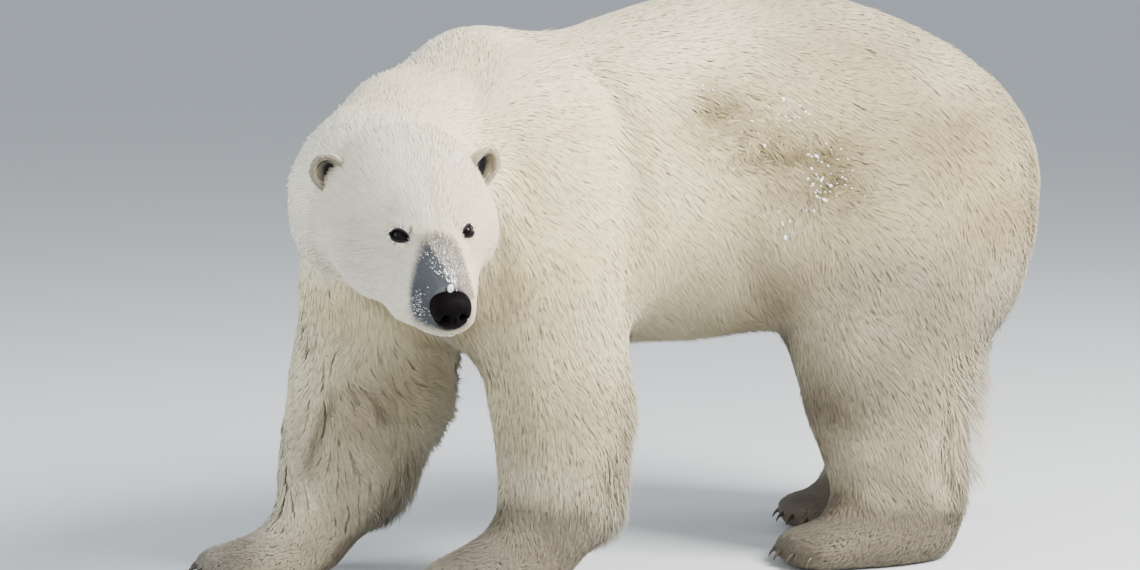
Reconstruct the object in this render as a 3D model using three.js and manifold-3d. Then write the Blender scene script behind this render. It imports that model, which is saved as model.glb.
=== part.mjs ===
// A still, life-size polar bear: it stands on four paws and looks round to its left.
// Millimetres, +Z up. The rump is towards +Y, and the animal's left side is +X.
//
// The flesh is a few dozen rounded masses that melt into one another, written as a
// distance field. Each node has its own share of the field, turned into facets with
// cells as large as that part allows, and thin plane cuts part it from its neighbours.
import * as THREE from 'three';
import { mergeVertices } from 'three/addons/utils/BufferGeometryUtils.js';
import Module from 'manifold-3d';

const wasm = await Module();
wasm.setup();

const LEFT = 1;
const RIGHT = -1;
const SIDES = { left: LEFT, right: RIGHT };
const DEG = Math.PI / 180;

// ---- driving dimensions ------------------------------------------------------------

const GAP = 0.6;               // width of every cut between two nodes
const SPECK = 0.05;            // what is smaller than this is closed up
const FAR = 6000;              // longer than anything that a cutting plane has to pass
const MELT = { body: 110, limb: 70, neck: 120, face: 40, nose: 14, paw: 18 };
const CELL = {                 // a cell's size along X, Y and Z for each kind of node
  trunk: [80, 118, 82],
  neck: [66, 66, 66],
  tail: [32, 32, 40],
  upper: [62, 76, 88],
  lower: [56, 64, 80],
  paw: [43, 52, 36],
  head: [28, 28, 28],
  ear: [16, 16, 16],
  nose: [15, 15, 15],
};

// The trunk's masses: how far each reaches forward, back, down, up and to each side.
const TRUNK = {
  ribs: { front: -225, back: 740, low: 556, high: 1205, half: 262 },
  barrel: { front: -30, back: 1250, low: 548, high: 1338, half: 312 },
  loin: { front: 280, back: 1300, low: 760, high: 1350, half: 245 },
  rump: { front: 760, back: 1480, low: 610, high: 1222, half: 262 },
  withers: { front: -170, back: 150, low: 1000, high: 1268, half: 135 },
  brisket: { front: -260, back: 260, low: 600, high: 1010, half: 215 },
};
const SHOULDER = { x: 163, y: 70, z: 890, radii: [138, 205, 315], lean: -12 };
const HAUNCH = { x: 165, y: 1105, z: 800, radii: [152, 278, 365], lean: 12 };
const TAIL = { y: 1415, z: 950, length: 165, drop: 24, root: 50, tip: 35 };

// Each leg: stations from the body down to the ankle, then where its paw stands.
const LEGS = {
  fore_left: {
    side: LEFT,
    flatness: 0.76,
    stations: [
      [185, 118, 700, 176], [198, 115, 440, 156], [203, 113, 220, 135], [205, 60, 116, 91],
    ],
    paw: { x: 210, y: -55, turn: -4, length: 330 },
  },
  fore_right: {
    side: RIGHT,
    flatness: 0.76,
    stations: [
      [-170, -140, 760, 200], [-186, -192, 460, 180], [-190, -254, 260, 152], [-190, -340, 118, 98],
    ],
    paw: { x: -190, y: -455, turn: 4, length: 330 },
  },
  hind_left: {
    side: LEFT,
    flatness: 0.66,
    stations: [
      [178, 985, 600, 262], [206, 985, 420, 210], [234, 992, 250, 162], [246, 1012, 120, 148],
    ],
    paw: { x: 250, y: 900, turn: -8, length: 430 },
  },
  hind_right: {
    side: RIGHT,
    flatness: 0.66,
    stations: [
      [-175, 1120, 620, 240], [-185, 1180, 420, 188], [-190, 1228, 250, 156], [-186, 1245, 120, 140],
    ],
    paw: { x: -172, y: 1145, turn: 8, length: 430 },
  },
};
const PAW = {
  width: 245,
  short: 26,                   // the pad ends this far behind the tips of the toes
  padLevel: 45,
  padHalf: 63,
  instep: 54,                  // level and radius of the end of the instep
  instepForward: 0.12,         // how far forward that end lies, as a share of the length
  toes: 5,
  toeRadii: [35, 58, 43],
  toeLevel: 37,
  toeStep: 46,                 // from one toe's middle to the next
  toeArc: 38,                  // how far the outer toes stand back
  toeFan: 5,                   // degrees from one toe to the next
};
const CLAW = { length: 38, radius: 6.5, sides: 5, droop: 20, level: 32 };

// The neck's stations, from between the shoulders to the back of the skull.
const NECK = [[0, 40, 965, 240], [85, -150, 945, 200], [225, -322, 915, 180], [370, -345, 925, 166]];

// The head has its own frame: forward, left and up from midway between the eyes.
const HEAD = { origin: [584, -357, 866], yaw: -6, pitch: 27, roll: 2.5 };
const EYE = { forward: -6, side: 73, up: 0, radius: 17, segments: [8, 6] };
const EAR = {
  at: { forward: -220, side: 168, up: 22 },
  radii: [18, 40, 48],
  cupAt: { forward: -196, side: 171, up: 25 },
  cupRadii: [17, 24, 28.8],
};
const NOSE = {
  pad: { at: [154.4, 0, -76], radii: [39, 42, 35] },
  foot: { at: [146.6, 0, -100.5], radii: [31.2, 23.1, 21.7] },
};

// Where the plane cuts run.
const CUTS = {
  head: -238,                                  // forward, in the head's frame
  jaw: -225,                                   // up, in the head's frame
  neck: { point: [0, -130, 1050], normal: [0.25, -0.85, 0.46] },
  legTop: { fore: 600, hind: 645, x: 60, slope: 27 },
  legInner: 30,
  foreBack: { point: [0, 345, 600], normal: [0, 0.88, 0.47] },
  hindFront: { point: [0, 640, 560], normal: [0, -0.75, 0.66] },
  knee: { fore: 345, hind: 365 },
  ankle: 124,
};

// Where each part of the field is turned into facets: the box's middle and half sizes.
const BOX = {
  trunk: { middle: [0, 600, 950], reach: [520, 1020, 570] },
  tail: { reach: [165, 165, 215] },
  neck: { middle: [180, -240, 950], reach: [560, 460, 520] },
  head: { at: [-60, 0, -50], reach: [350, 350, 350] },
  nose: { at: [170, 0, -76], reach: [84, 84, 84] },
  ear: { reach: [86.4, 86.4, 86.4] },
  upper: { level: 620, reach: [460, 720, 400] },
  lower: { level: 240, reach: [330, 480, 260] },
  paw: { back: 70, level: 80, reach: [300, 1.1, 160] },   // along the paw, times its length
};

const COLOUR = {
  coat: [0xe2d6c2, 0.9], face: [0xe6dfd2, 0.9], legs: [0xd2c4ae, 0.92],
  ear: [0xb9aea2, 0.9], nose: [0x17161a, 0.45], eye: [0x0d0b0a, 0.12], claw: [0x2a241f, 0.5],
};

// ---- small vector helpers ----------------------------------------------------------

const vector = (list) => new THREE.Vector3(...list);

function frameOf({ origin, yaw, pitch, roll }) {
  const turn = new THREE.Euler(roll * DEG, pitch * DEG, yaw * DEG, 'ZYX');
  const matrix = new THREE.Matrix4().makeRotationFromEuler(turn).setPosition(vector(origin));
  return { matrix, inverse: matrix.clone().invert() };
}

const headFrame = frameOf(HEAD);
const inHead = (forward, left, up) => vector([forward, left, up]).applyMatrix4(headFrame.matrix);

// ---- distance fields: one mass each ------------------------------------------------

function ball({ centre, radii, melt, turn = new THREE.Matrix4() }) {
  const place = turn.clone().setPosition(vector(centre));
  const e = place.clone().invert().elements;
  const [rx, ry, rz] = radii;
  const distance = (x, y, z) => {
    const px = (e[0] * x + e[4] * y + e[8] * z + e[12]) / rx;
    const py = (e[1] * x + e[5] * y + e[9] * z + e[13]) / ry;
    const pz = (e[2] * x + e[6] * y + e[10] * z + e[14]) / rz;
    const reach = Math.hypot(px, py, pz);
    const slope = Math.hypot(px / rx, py / ry, pz / rz);
    return slope > 0 ? reach * (reach - 1) / slope : -Math.min(rx, ry, rz);
  };
  return { melt, distance };
}

function limb({ from, to, fromRadius, toRadius, melt, flatness = 1 }) {
  const [ax, ay, az] = [from[0] / flatness, from[1], from[2]];
  const [bx, by, bz] = [to[0] / flatness - ax, to[1] - ay, to[2] - az];
  const span = bx * bx + by * by + bz * bz;
  const distance = (x, y, z) => {
    const [px, py, pz] = [x / flatness - ax, y - ay, z - az];
    const along = Math.min(1, Math.max(0, (px * bx + py * by + pz * bz) / span));
    const gap = Math.hypot(px - bx * along, py - by * along, pz - bz * along);
    return gap - fromRadius - (toRadius - fromRadius) * along;
  };
  return { melt, distance };
}

// The union of masses, each melted into those before it over its own distance.
function unionOf(masses) {
  return (x, y, z) => {
    let sum = FAR;
    for (const { melt, distance } of masses) {
      const d = distance(x, y, z);
      const h = Math.max(melt - Math.abs(sum - d), 0) / melt;
      sum = Math.min(sum, d) - h * h * melt / 4;
    }
    return sum;
  };
}

// ---- the animal's masses -----------------------------------------------------------

function slab({ front, back, low, high, half }) {
  return ball({
    centre: [0, (front + back) / 2, (low + high) / 2],
    radii: [half, (back - front) / 2, (high - low) / 2],
    melt: MELT.body,
  });
}

function trunkMasses() {
  const paired = [SHOULDER, HAUNCH].flatMap(({ x, y, z, radii, lean }) => Object.values(SIDES).map(
    (side) => ball({
      centre: [side * x, y, z],
      radii,
      melt: MELT.body,
      turn: new THREE.Matrix4().makeRotationX(lean * DEG),
    }),
  ));
  return [...Object.values(TRUNK).map(slab), ...paired];
}

function chain(stations, melt, flatness = 1) {
  return stations.slice(1).map(([x, y, z, toRadius], i) => {
    const [fromX, fromY, fromZ, fromRadius] = stations[i];
    const from = [fromX, fromY, fromZ];
    return limb({ from, to: [x, y, z], fromRadius, toRadius, melt, flatness });
  });
}

// A toe's place over the paw: a fan of five, the middle ones furthest forward.
function toePlace(paw, index) {
  const fan = index - (PAW.toes - 1) / 2;
  const forward = paw.length / 2 - PAW.toeRadii[2] - PAW.toeArc * (fan * fan) / 4;
  const turn = paw.turn * DEG;
  const side = fan * PAW.toeStep;
  return {
    x: paw.x + side * Math.cos(turn) + forward * Math.sin(turn),
    y: paw.y + side * Math.sin(turn) - forward * Math.cos(turn),
    turn: turn + fan * PAW.toeFan * DEG,
  };
}

function pawMasses({ stations, paw }) {
  const ankle = stations[stations.length - 1];
  const turn = new THREE.Matrix4().makeRotationZ(paw.turn * DEG);
  const pad = ball({
    centre: [paw.x, paw.y, PAW.padLevel],
    radii: [PAW.width / 2, paw.length / 2 - PAW.short, PAW.padHalf],
    melt: MELT.limb,
    turn,
  });
  const instep = limb({
    from: ankle.slice(0, 3),
    to: [paw.x, paw.y - paw.length * PAW.instepForward, PAW.instep],
    fromRadius: ankle[3] * 0.8,
    toRadius: PAW.instep,
    melt: MELT.limb,
  });
  const toes = Array.from({ length: PAW.toes }, (_, i) => {
    const { x, y, turn: fanTurn } = toePlace(paw, i);
    return ball({
      centre: [x, y, PAW.toeLevel],
      radii: PAW.toeRadii,
      melt: MELT.paw,
      turn: new THREE.Matrix4().makeRotationZ(fanTurn),
    });
  });
  return [pad, instep, ...toes];
}

function legMasses(leg) {
  return [...chain(leg.stations, MELT.limb, leg.flatness), ...pawMasses(leg)];
}

function tailMasses() {
  return [limb({
    from: [0, TAIL.y, TAIL.z],
    to: [0, TAIL.y + TAIL.drop, TAIL.z - TAIL.length],
    fromRadius: TAIL.root,
    toRadius: TAIL.tip,
    melt: MELT.face,
  })];
}

// The head's main wedge, from the jaw's corner to the muzzle.
const WEDGE = { back: [-110, 0, -66], front: [70, 0, -82], backRadius: 118, frontRadius: 56 };

// Masses of the head, given in its own frame as forward, left, up and three radii.
const FACE = {
  braincase: { at: [-140, 0, -18], radii: [135, 138, 98] },
  brow: { at: [-50, 0, -8], radii: [92, 76, 52] },
  snout: { at: [64, 0, -68], radii: [120, 52, 44] },
  chin: { at: [104, 0, -132], radii: [64, 48, 37] },
  throat: { at: [-120, 0, -120], radii: [130, 115, 85] },
};
const PAIRED_FACE = {
  cheek: { at: [-140, 92, -78], radii: [112, 94, 106] },
  zygoma: { at: [-58, 58, -62], radii: [86, 58, 54] },
  jaw: { at: [2, 46, -119], radii: [108, 52, 50] },
  lip: { at: [98, 33, -106], radii: [64, 31, 38] },
  chop: { at: [34, 36, -102], radii: [72, 32, 42] },
};

function faceBall({ at, radii }, melt = MELT.face) {
  const [forward, left, up] = at;
  const turn = new THREE.Matrix4().extractRotation(headFrame.matrix);
  return ball({ centre: inHead(forward, left, up).toArray(), radii, melt, turn });
}

function headMasses() {
  const paired = Object.values(PAIRED_FACE).flatMap(({ at: [forward, left, up], radii }) =>
    Object.values(SIDES).map((side) => faceBall({ at: [forward, side * left, up], radii })));
  const wedge = limb({
    from: inHead(...WEDGE.back).toArray(),
    to: inHead(...WEDGE.front).toArray(),
    fromRadius: WEDGE.backRadius,
    toRadius: WEDGE.frontRadius,
    melt: MELT.face,
  });
  return [wedge, ...Object.values(FACE).map((part) => faceBall(part)), ...paired];
}

const bodyField = unionOf([
  ...trunkMasses(),
  ...Object.values(LEGS).flatMap(legMasses),
  ...chain(NECK, MELT.neck),
  ...headMasses(),
]);

// ---- from a field to facets --------------------------------------------------------

const EDGES = [[1, 0, 0], [0, 1, 0], [0, 0, 1]];

// Samples a field over a box of cells. The outermost layer is held outside the surface,
// so that what the box cuts off is closed there.
function sample(field, low, high, cell) {
  const size = low.map((value, axis) => Math.ceil((high[axis] - value) / cell[axis]) + 1);
  const [nx, ny, nz] = size;
  const values = new Float64Array(nx * ny * nz);
  const at = (i, j, k) => (k * ny + j) * nx + i;
  for (let k = 0; k < nz; k += 1) {
    for (let j = 0; j < ny; j += 1) {
      for (let i = 0; i < nx; i += 1) {
        const border = i * j * k === 0 || i === nx - 1 || j === ny - 1 || k === nz - 1;
        const value = field(low[0] + i * cell[0], low[1] + j * cell[1], low[2] + k * cell[2]);
        values[at(i, j, k)] = border ? Math.max(value, cell[0] / 2) : value;
      }
    }
  }
  return { size, values, at };
}

// Draws a point onto the surface, by no more than a short way in all.
function settle(field, point, limit) {
  const start = point.clone();
  const slope = new THREE.Vector3();
  const probe = limit / 20;
  for (let round = 0; round < 4; round += 1) {
    const { x, y, z } = point;
    const value = field(x, y, z);
    slope.set(
      (field(x + probe, y, z) - value) / probe,
      (field(x, y + probe, z) - value) / probe,
      (field(x, y, z + probe) - value) / probe,
    );
    point.addScaledVector(slope, -value / Math.max(slope.lengthSq(), 0.05));
  }
  return point.sub(start).clampLength(0, limit).add(start);
}

// One vertex per cell that the surface crosses, one quad per edge that it crosses.
function polygonize(field, low, high, cell) {
  const { size, values, at } = sample(field, low, high, cell);
  const [nx, ny, nz] = size;
  const vertexOf = new Map();
  const positions = [];
  const indices = [];

  const cellVertex = (i, j, k) => {
    const key = at(i, j, k);
    if (vertexOf.has(key)) return vertexOf.get(key);
    const sum = new THREE.Vector3();
    let crossings = 0;
    EDGES.forEach((step, axis) => {
      const [u, v] = [EDGES[(axis + 1) % 3], EDGES[(axis + 2) % 3]];
      for (let corner = 0; corner < 4; corner += 1) {
        const [p, q] = [corner & 1, corner >> 1];
        const a = [i, j, k].map((n, c) => n + p * u[c] + q * v[c]);
        const from = values[at(...a)];
        const to = values[at(a[0] + step[0], a[1] + step[1], a[2] + step[2])];
        if (from < 0 === to < 0) continue;
        const t = from / (from - to);
        sum.add(vector(a.map((n, c) => low[c] + (n + t * step[c]) * cell[c])));
        crossings += 1;
      }
    });
    const point = sum.divideScalar(crossings);
    const inner = [i, j, k].every((n, c) => n > 0 && n < size[c] - 2);
    if (inner) settle(field, point, Math.min(...cell) / 2);
    positions.push(point.x, point.y, point.z);
    vertexOf.set(key, positions.length / 3 - 1);
    return positions.length / 3 - 1;
  };

  for (let k = 0; k < nz - 1; k += 1) {
    for (let j = 0; j < ny - 1; j += 1) {
      for (let i = 0; i < nx - 1; i += 1) {
        const here = values[at(i, j, k)] < 0;
        EDGES.forEach((step, axis) => {
          const next = values[at(i + step[0], j + step[1], k + step[2])] < 0;
          if (here === next) return;
          const [u, v] = [EDGES[(axis + 1) % 3], EDGES[(axis + 2) % 3]];
          const quad = [[0, 0], [1, 0], [1, 1], [0, 1]].map(([p, q]) => cellVertex(
            i - p * u[0] - q * v[0], j - p * u[1] - q * v[1], k - p * u[2] - q * v[2],
          ));
          if (!here) quad.reverse();
          indices.push(...splitQuad(quad, positions));
        });
      }
    }
  }
  return solidOf(positions, indices);
}

// A quad as two triangles, split along its shorter diagonal.
function splitQuad([a, b, c, d], positions) {
  const corner = (n) => new THREE.Vector3().fromArray(positions, n * 3);
  const straight = corner(a).distanceToSquared(corner(c)) <= corner(b).distanceToSquared(corner(d));
  return straight ? [a, b, c, a, c, d] : [b, c, d, b, d, a];
}

// ---- solids ------------------------------------------------------------------------

function solidOf(positions, indices) {
  return new wasm.Manifold(new wasm.Mesh({
    numProp: 3,
    vertProperties: new Float32Array(positions),
    triVerts: new Uint32Array(indices),
  }));
}

function solidFrom(geometry) {
  const bare = geometry.clone();
  bare.deleteAttribute('normal');
  bare.deleteAttribute('uv');
  const merged = mergeVertices(bare, 1e-4);
  return solidOf(merged.attributes.position.array, merged.index.array);
}

// A solid's facets, with the specks that a cut leaves closed up.
function geometryOf(solid) {
  const { vertProperties, triVerts } = solid.getMesh();
  const raw = new THREE.BufferGeometry();
  raw.setAttribute('position', new THREE.BufferAttribute(new Float32Array(vertProperties), 3));
  raw.setIndex(new THREE.BufferAttribute(new Uint32Array(triVerts), 1));
  const geometry = mergeVertices(raw, SPECK);
  const corners = geometry.index.array;
  const kept = [];
  for (let i = 0; i < corners.length; i += 3) {
    const [a, b, c] = corners.slice(i, i + 3);
    if (a !== b && b !== c && c !== a) kept.push(a, b, c);
  }
  geometry.setIndex(kept);
  geometry.computeVertexNormals();
  return geometry;
}

// Everything behind a plane, as one very large box. grow moves the plane forward.
function behind({ point, normal }, grow = 0) {
  const box = new THREE.BoxGeometry(FAR, FAR, FAR);
  box.translate(0, 0, grow - FAR / 2);
  const outward = vector(normal).normalize();
  box.applyQuaternion(new THREE.Quaternion().setFromUnitVectors(new THREE.Vector3(0, 0, 1), outward));
  box.translate(...point);
  return solidFrom(box);
}

// The same solid with its skin moved out along its normals, to cut a neighbour with.
function swollen(solid, by = GAP) {
  const geometry = geometryOf(solid);
  const { position, normal } = geometry.attributes;
  const moved = Array.from(position.array, (value, i) => value + by * normal.array[i]);
  return solidOf(moved, geometry.index.array);
}

const region = (planes, grow) => planes
  .map((plane) => behind(plane, grow))
  .reduce((a, b) => a.intersect(b));
const flip = ({ point, normal }) => ({ point, normal: normal.map((n) => -n) });

// ---- where each node's region lies -------------------------------------------------

const axisOf = (axis) => new THREE.Vector3().setFromMatrixColumn(headFrame.matrix, axis);
const headPlanes = [
  { point: inHead(CUTS.head, 0, 0).toArray(), normal: axisOf(0).negate().toArray() },
  { point: inHead(0, 0, CUTS.jaw).toArray(), normal: axisOf(2).negate().toArray() },
  flip(CUTS.neck),
];
const floorPlane = { point: [0, 0, 0], normal: [0, 0, -1] };
const level = (z) => ({ point: [0, 0, z], normal: [0, 0, 1] });

function legPlanes(name, side) {
  const fore = name.startsWith('fore');
  const { x, slope } = CUTS.legTop;
  const top = fore ? CUTS.legTop.fore : CUTS.legTop.hind;
  return [
    { point: [side * x, 0, top], normal: [-side * Math.sin(slope * DEG), 0, Math.cos(slope * DEG)] },
    { point: [side * CUTS.legInner, 0, 0], normal: [-side, 0, 0] },
    ...(fore ? [CUTS.foreBack, CUTS.neck] : [CUTS.hindFront]),
  ];
}

const legRegions = Object.entries(LEGS).map(([name, { side }]) => legPlanes(name, side));

// ---- nodes -------------------------------------------------------------------------

const bear = new THREE.Group();

function add(name, solid, [colour, roughness]) {
  const material = new THREE.MeshStandardMaterial({ color: colour, roughness, metalness: 0 });
  const mesh = new THREE.Mesh(geometryOf(solid), material);
  mesh.name = name;
  bear.add(mesh);
}

// A box of the field around a middle point, in facets of one size.
function facets(field, middle, reach, cell) {
  const low = middle.map((value, axis) => value - reach[axis]);
  const high = middle.map((value, axis) => value + reach[axis]);
  return polygonize(field, low, high, cell);
}

// Trunk and tail.
const wholeTrunk = facets(bodyField, BOX.trunk.middle, BOX.trunk.reach, CELL.trunk);

function addTrunk() {
  const cuts = [
    region([flip(CUTS.neck)], GAP / 2),
    ...legRegions.map((planes) => region(planes, GAP / 2)),
  ];
  add('trunk', cuts.reduce((solid, cut) => solid.subtract(cut), wholeTrunk), COLOUR.coat);
}

function addTail() {
  const { y, z, length } = TAIL;
  const tail = facets(unionOf(tailMasses()), [0, y, z - length / 2], BOX.tail.reach, CELL.tail);
  add('tail', tail.subtract(swollen(wholeTrunk)), COLOUR.coat);
}

// Neck.
const wholeNeck = facets(bodyField, BOX.neck.middle, BOX.neck.reach, CELL.neck);

function addNeck() {
  const neck = wholeNeck
    .intersect(region([flip(CUTS.neck)], -GAP / 2))
    .subtract(region(headPlanes, GAP / 2));
  add('neck', neck, COLOUR.coat);
}

// Head, with the eyes and the nose let into it and the ears set on it.
const wholeHead = facets(bodyField, inHead(...BOX.head.at).toArray(), BOX.head.reach, CELL.head);

function eyeBall(side, radius) {
  const eye = new THREE.SphereGeometry(radius, ...EYE.segments);
  eye.translate(...inHead(EYE.forward, side * EYE.side, EYE.up).toArray());
  return solidFrom(eye);
}

function noseSolid() {
  const field = unionOf(Object.values(NOSE).map((part) => faceBall(part, MELT.nose)));
  return facets(field, inHead(...BOX.nose.at).toArray(), BOX.nose.reach, CELL.nose);
}

function addHead() {
  const nose = noseSolid();
  const head = wholeHead
    .intersect(region(headPlanes, -GAP / 2))
    .subtract(swollen(nose))
    .subtract(eyeBall(LEFT, EYE.radius + GAP))
    .subtract(eyeBall(RIGHT, EYE.radius + GAP));
  add('head', head, COLOUR.face);
  add('nose', nose, COLOUR.nose);
  add('eye_left', eyeBall(LEFT, EYE.radius), COLOUR.eye);
  add('eye_right', eyeBall(RIGHT, EYE.radius), COLOUR.eye);
}

// An ear: a thick round shell with a shallow cup in front.
function earField(side) {
  const mass = ({ forward, side: out, up }, radii) => faceBall({ at: [forward, side * out, up], radii });
  const shell = unionOf([mass(EAR.at, EAR.radii)]);
  const hollow = mass(EAR.cupAt, EAR.cupRadii);
  return (x, y, z) => Math.max(shell(x, y, z), -hollow.distance(x, y, z));
}

function addEars() {
  const host = swollen(wholeHead).add(swollen(wholeNeck));
  const { forward, side: out, up } = EAR.at;
  for (const [name, side] of Object.entries(SIDES)) {
    const middle = inHead(forward, side * out, up).toArray();
    const ear = facets(earField(side), middle, BOX.ear.reach, CELL.ear);
    add(`ear_${name}`, ear.subtract(host), COLOUR.ear);
  }
}

// Legs: three lengths each, and five claws to a paw.
function addLeg(name, leg) {
  const { side, stations, paw } = leg;
  const planes = region(legPlanes(name, side), -GAP / 2);
  const [, middle, low] = stations;
  const knee = name.startsWith('fore') ? CUTS.knee.fore : CUTS.knee.hind;
  const upper = facets(bodyField, [middle[0], middle[1], BOX.upper.level], BOX.upper.reach, CELL.upper)
    .intersect(planes)
    .subtract(behind(level(knee), GAP / 2));
  const lower = facets(bodyField, [low[0], low[1], BOX.lower.level], BOX.lower.reach, CELL.lower)
    .intersect(planes)
    .intersect(behind(level(knee), -GAP / 2))
    .subtract(behind(level(CUTS.ankle), GAP / 2));
  add(`${name}_upper`, upper, COLOUR.coat);
  add(`${name}_lower`, lower, COLOUR.legs);
  const sole = pawFacets(paw).intersect(region([level(CUTS.ankle), floorPlane], -GAP / 2));
  add(`${name}_paw`, sole, COLOUR.legs);
}

function pawFacets(paw) {
  const { back, level: z, reach: [x, along, up] } = BOX.paw;
  return facets(bodyField, [paw.x, paw.y + back, z], [x, paw.length * along, up], CELL.paw);
}

function clawSolid(paw, index) {
  const { length, radius, sides, droop, level: z } = CLAW;
  const { x, y, turn } = toePlace(paw, index);
  const claw = new THREE.ConeGeometry(radius, length, sides, 1);
  claw.rotateX((90 + droop) * DEG);
  claw.rotateZ(turn);
  const reach = PAW.toeRadii[1];
  claw.translate(x + Math.sin(turn) * reach, y - Math.cos(turn) * reach, z);
  return solidFrom(claw);
}

function addClaws(name, { paw }) {
  const host = swollen(pawFacets(paw));
  for (let i = 0; i < PAW.toes; i += 1) {
    add(`${name}_claw_${i + 1}`, clawSolid(paw, i).subtract(host), COLOUR.claw);
  }
}

addTrunk();
addTail();
addNeck();
addHead();
addEars();
for (const [name, leg] of Object.entries(LEGS)) {
  addLeg(name, leg);
  addClaws(name, leg);
}

// The origin is at the middle of the box, on the floor.
const box = new THREE.Box3().setFromObject(bear);
const middle = box.getCenter(new THREE.Vector3());
bear.position.set(-middle.x, -middle.y, -box.min.z);

export default bear;
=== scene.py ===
# %% [markdown]
# # A polar bear, life size
# The bear stands on all four feet with its head turned back over its left shoulder. It is
# built like a museum model: one seamless skin, and over it a coat of many thousand solid
# tufts. The plain frame of the animal, its trunk, neck, head, legs and claws, is loaded
# first and never changed, and every size below is worked out from it.

# %% Load the fixed frame
import math

import bmesh
import bpy
import numpy as np
from mathutils import Matrix, Vector
from mathutils.bvhtree import BVHTree
from mathutils.kdtree import KDTree


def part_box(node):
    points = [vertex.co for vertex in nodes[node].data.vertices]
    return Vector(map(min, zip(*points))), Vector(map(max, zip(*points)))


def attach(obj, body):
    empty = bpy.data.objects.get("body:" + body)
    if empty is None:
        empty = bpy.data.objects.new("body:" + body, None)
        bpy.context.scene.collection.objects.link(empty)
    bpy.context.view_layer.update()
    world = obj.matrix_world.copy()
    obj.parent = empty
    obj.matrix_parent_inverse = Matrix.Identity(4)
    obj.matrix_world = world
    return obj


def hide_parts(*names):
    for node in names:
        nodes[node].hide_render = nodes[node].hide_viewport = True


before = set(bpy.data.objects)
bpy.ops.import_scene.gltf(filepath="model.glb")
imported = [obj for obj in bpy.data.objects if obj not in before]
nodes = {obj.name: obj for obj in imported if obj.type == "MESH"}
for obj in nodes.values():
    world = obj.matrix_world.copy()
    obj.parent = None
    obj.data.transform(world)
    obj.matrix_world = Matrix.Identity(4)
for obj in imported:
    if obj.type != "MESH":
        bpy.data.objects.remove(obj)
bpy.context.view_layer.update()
scene = bpy.context.scene
rng = np.random.default_rng(1904)

# %% [markdown]
# ## Where the head looks
# The head is turned and lowered, so its features are easier to place in the head's own
# directions: forward along the muzzle's line, left, and up, in millimetres from a point
# between the eyes. They follow from where the eyes and the nose are in the frame.


# %% The head's own directions
NOSE_DROP = math.radians(27.0)  # the nose is this far below straight ahead, from the eyes
BROW_BACK = 0.006


def middle(node):
    low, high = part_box(node)
    return (low + high) / 2


LEFT = (middle("eye_left") - middle("eye_right")).normalized()
brow = (middle("eye_left") + middle("eye_right")) / 2
fall = middle("nose") - brow
fall = (fall - LEFT * fall.dot(LEFT)).normalized()
FORWARD = fall * math.cos(NOSE_DROP) + fall.cross(LEFT) * math.sin(NOSE_DROP)
UP = FORWARD.cross(LEFT)
HEAD_AXES = np.array([FORWARD, LEFT, UP])
HEAD_AT = np.array(brow + FORWARD * BROW_BACK)


def head_of(points):
    """Places in the head's own directions, in millimetres."""
    return (points - HEAD_AT) @ HEAD_AXES.T * 1000


def from_head(places):
    """Back from the head's millimetres to metres in the frame."""
    return HEAD_AT + np.asarray(places, float) / 1000 @ HEAD_AXES


nose_at = np.round(head_of(np.array(middle("nose"))), 1)
print("head looks along", np.round(HEAD_AXES[0], 3), "with the nose at", nose_at)

# %% [markdown]
# ## Reading and smoothing a mesh as arrays
# A skin has tens of thousands of points, and a loop over them in Python is slow, so the
# points are read into arrays and moved all at once. Smoothing is the same idea as the
# sculptor's smooth brush: each point moves part of the way to the middle of its neighbours.


# %% Mesh arrays
def points_of(mesh):
    flat = np.empty(len(mesh.vertices) * 3, np.float32)
    mesh.vertices.foreach_get("co", flat)
    return flat.reshape(-1, 3).astype(float)


def set_points(mesh, points):
    mesh.vertices.foreach_set("co", points.astype(np.float32).ravel())
    mesh.update()


def normals_of(mesh):
    flat = np.empty(len(mesh.vertices) * 3, np.float32)
    mesh.vertex_normals.foreach_get("vector", flat)
    return flat.reshape(-1, 3).astype(float)


def edges_of(mesh):
    flat = np.empty(len(mesh.edges) * 2, np.int32)
    mesh.edges.foreach_get("vertices", flat)
    return flat.reshape(-1, 2)


def soften(values, edges, amount, rounds):
    """Moves each value part of the way to the average of its neighbours, some rounds long."""
    count = len(values)
    ends = np.concatenate([edges[:, 0], edges[:, 1]])
    others = np.concatenate([edges[:, 1], edges[:, 0]])
    neighbours = np.maximum(np.bincount(ends, minlength=count), 1)[:, None]
    flat = values.reshape(count, -1).astype(float)
    for _ in range(rounds):
        sums = [np.bincount(ends, flat[others, k], count) for k in range(flat.shape[1])]
        flat += (np.stack(sums, axis=1) / neighbours - flat) * amount
    return flat.reshape(values.shape)


def unit(vectors):
    return vectors / np.maximum(np.linalg.norm(vectors, axis=-1, keepdims=True), 1e-9)


def from_path(points, path):
    """Each point's distance from a path of straight pieces."""
    best = np.full(len(points), 1e9)
    for a, b in zip(np.array(path[:-1], float), np.array(path[1:], float)):
        t = np.clip(((points - a) @ (b - a)) / ((b - a) @ (b - a)), 0, 1)
        best = np.minimum(best, np.linalg.norm(points - a - t[:, None] * (b - a), axis=1))
    return best


def near(places, spot, radii):
    """1 at a spot, falling smoothly to 0 beyond the radii."""
    away = (places - np.asarray(spot, float)) / np.asarray(radii, float)
    return np.exp(-(away**2).sum(-1))


def rise(values, low, high):
    """0 below low, 1 above high, and a smooth rise between."""
    t = np.clip((values - low) / (high - low), 0, 1)
    return t * t * (3 - 2 * t)


# %% [markdown]
# ## One guide body
# The frame's flesh is in parts: trunk, neck, head, three parts to each leg. Copies of them
# are welded, swollen by a hair so that they just run into each other, and closed into one
# shell by a voxel remesh, which keeps only the outside. The remesh leaves small steps, so
# the shell is smoothed, strongly over the trunk and lightly at the head and the paws,
# where a strong smoothing would wash the forms away.

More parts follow.
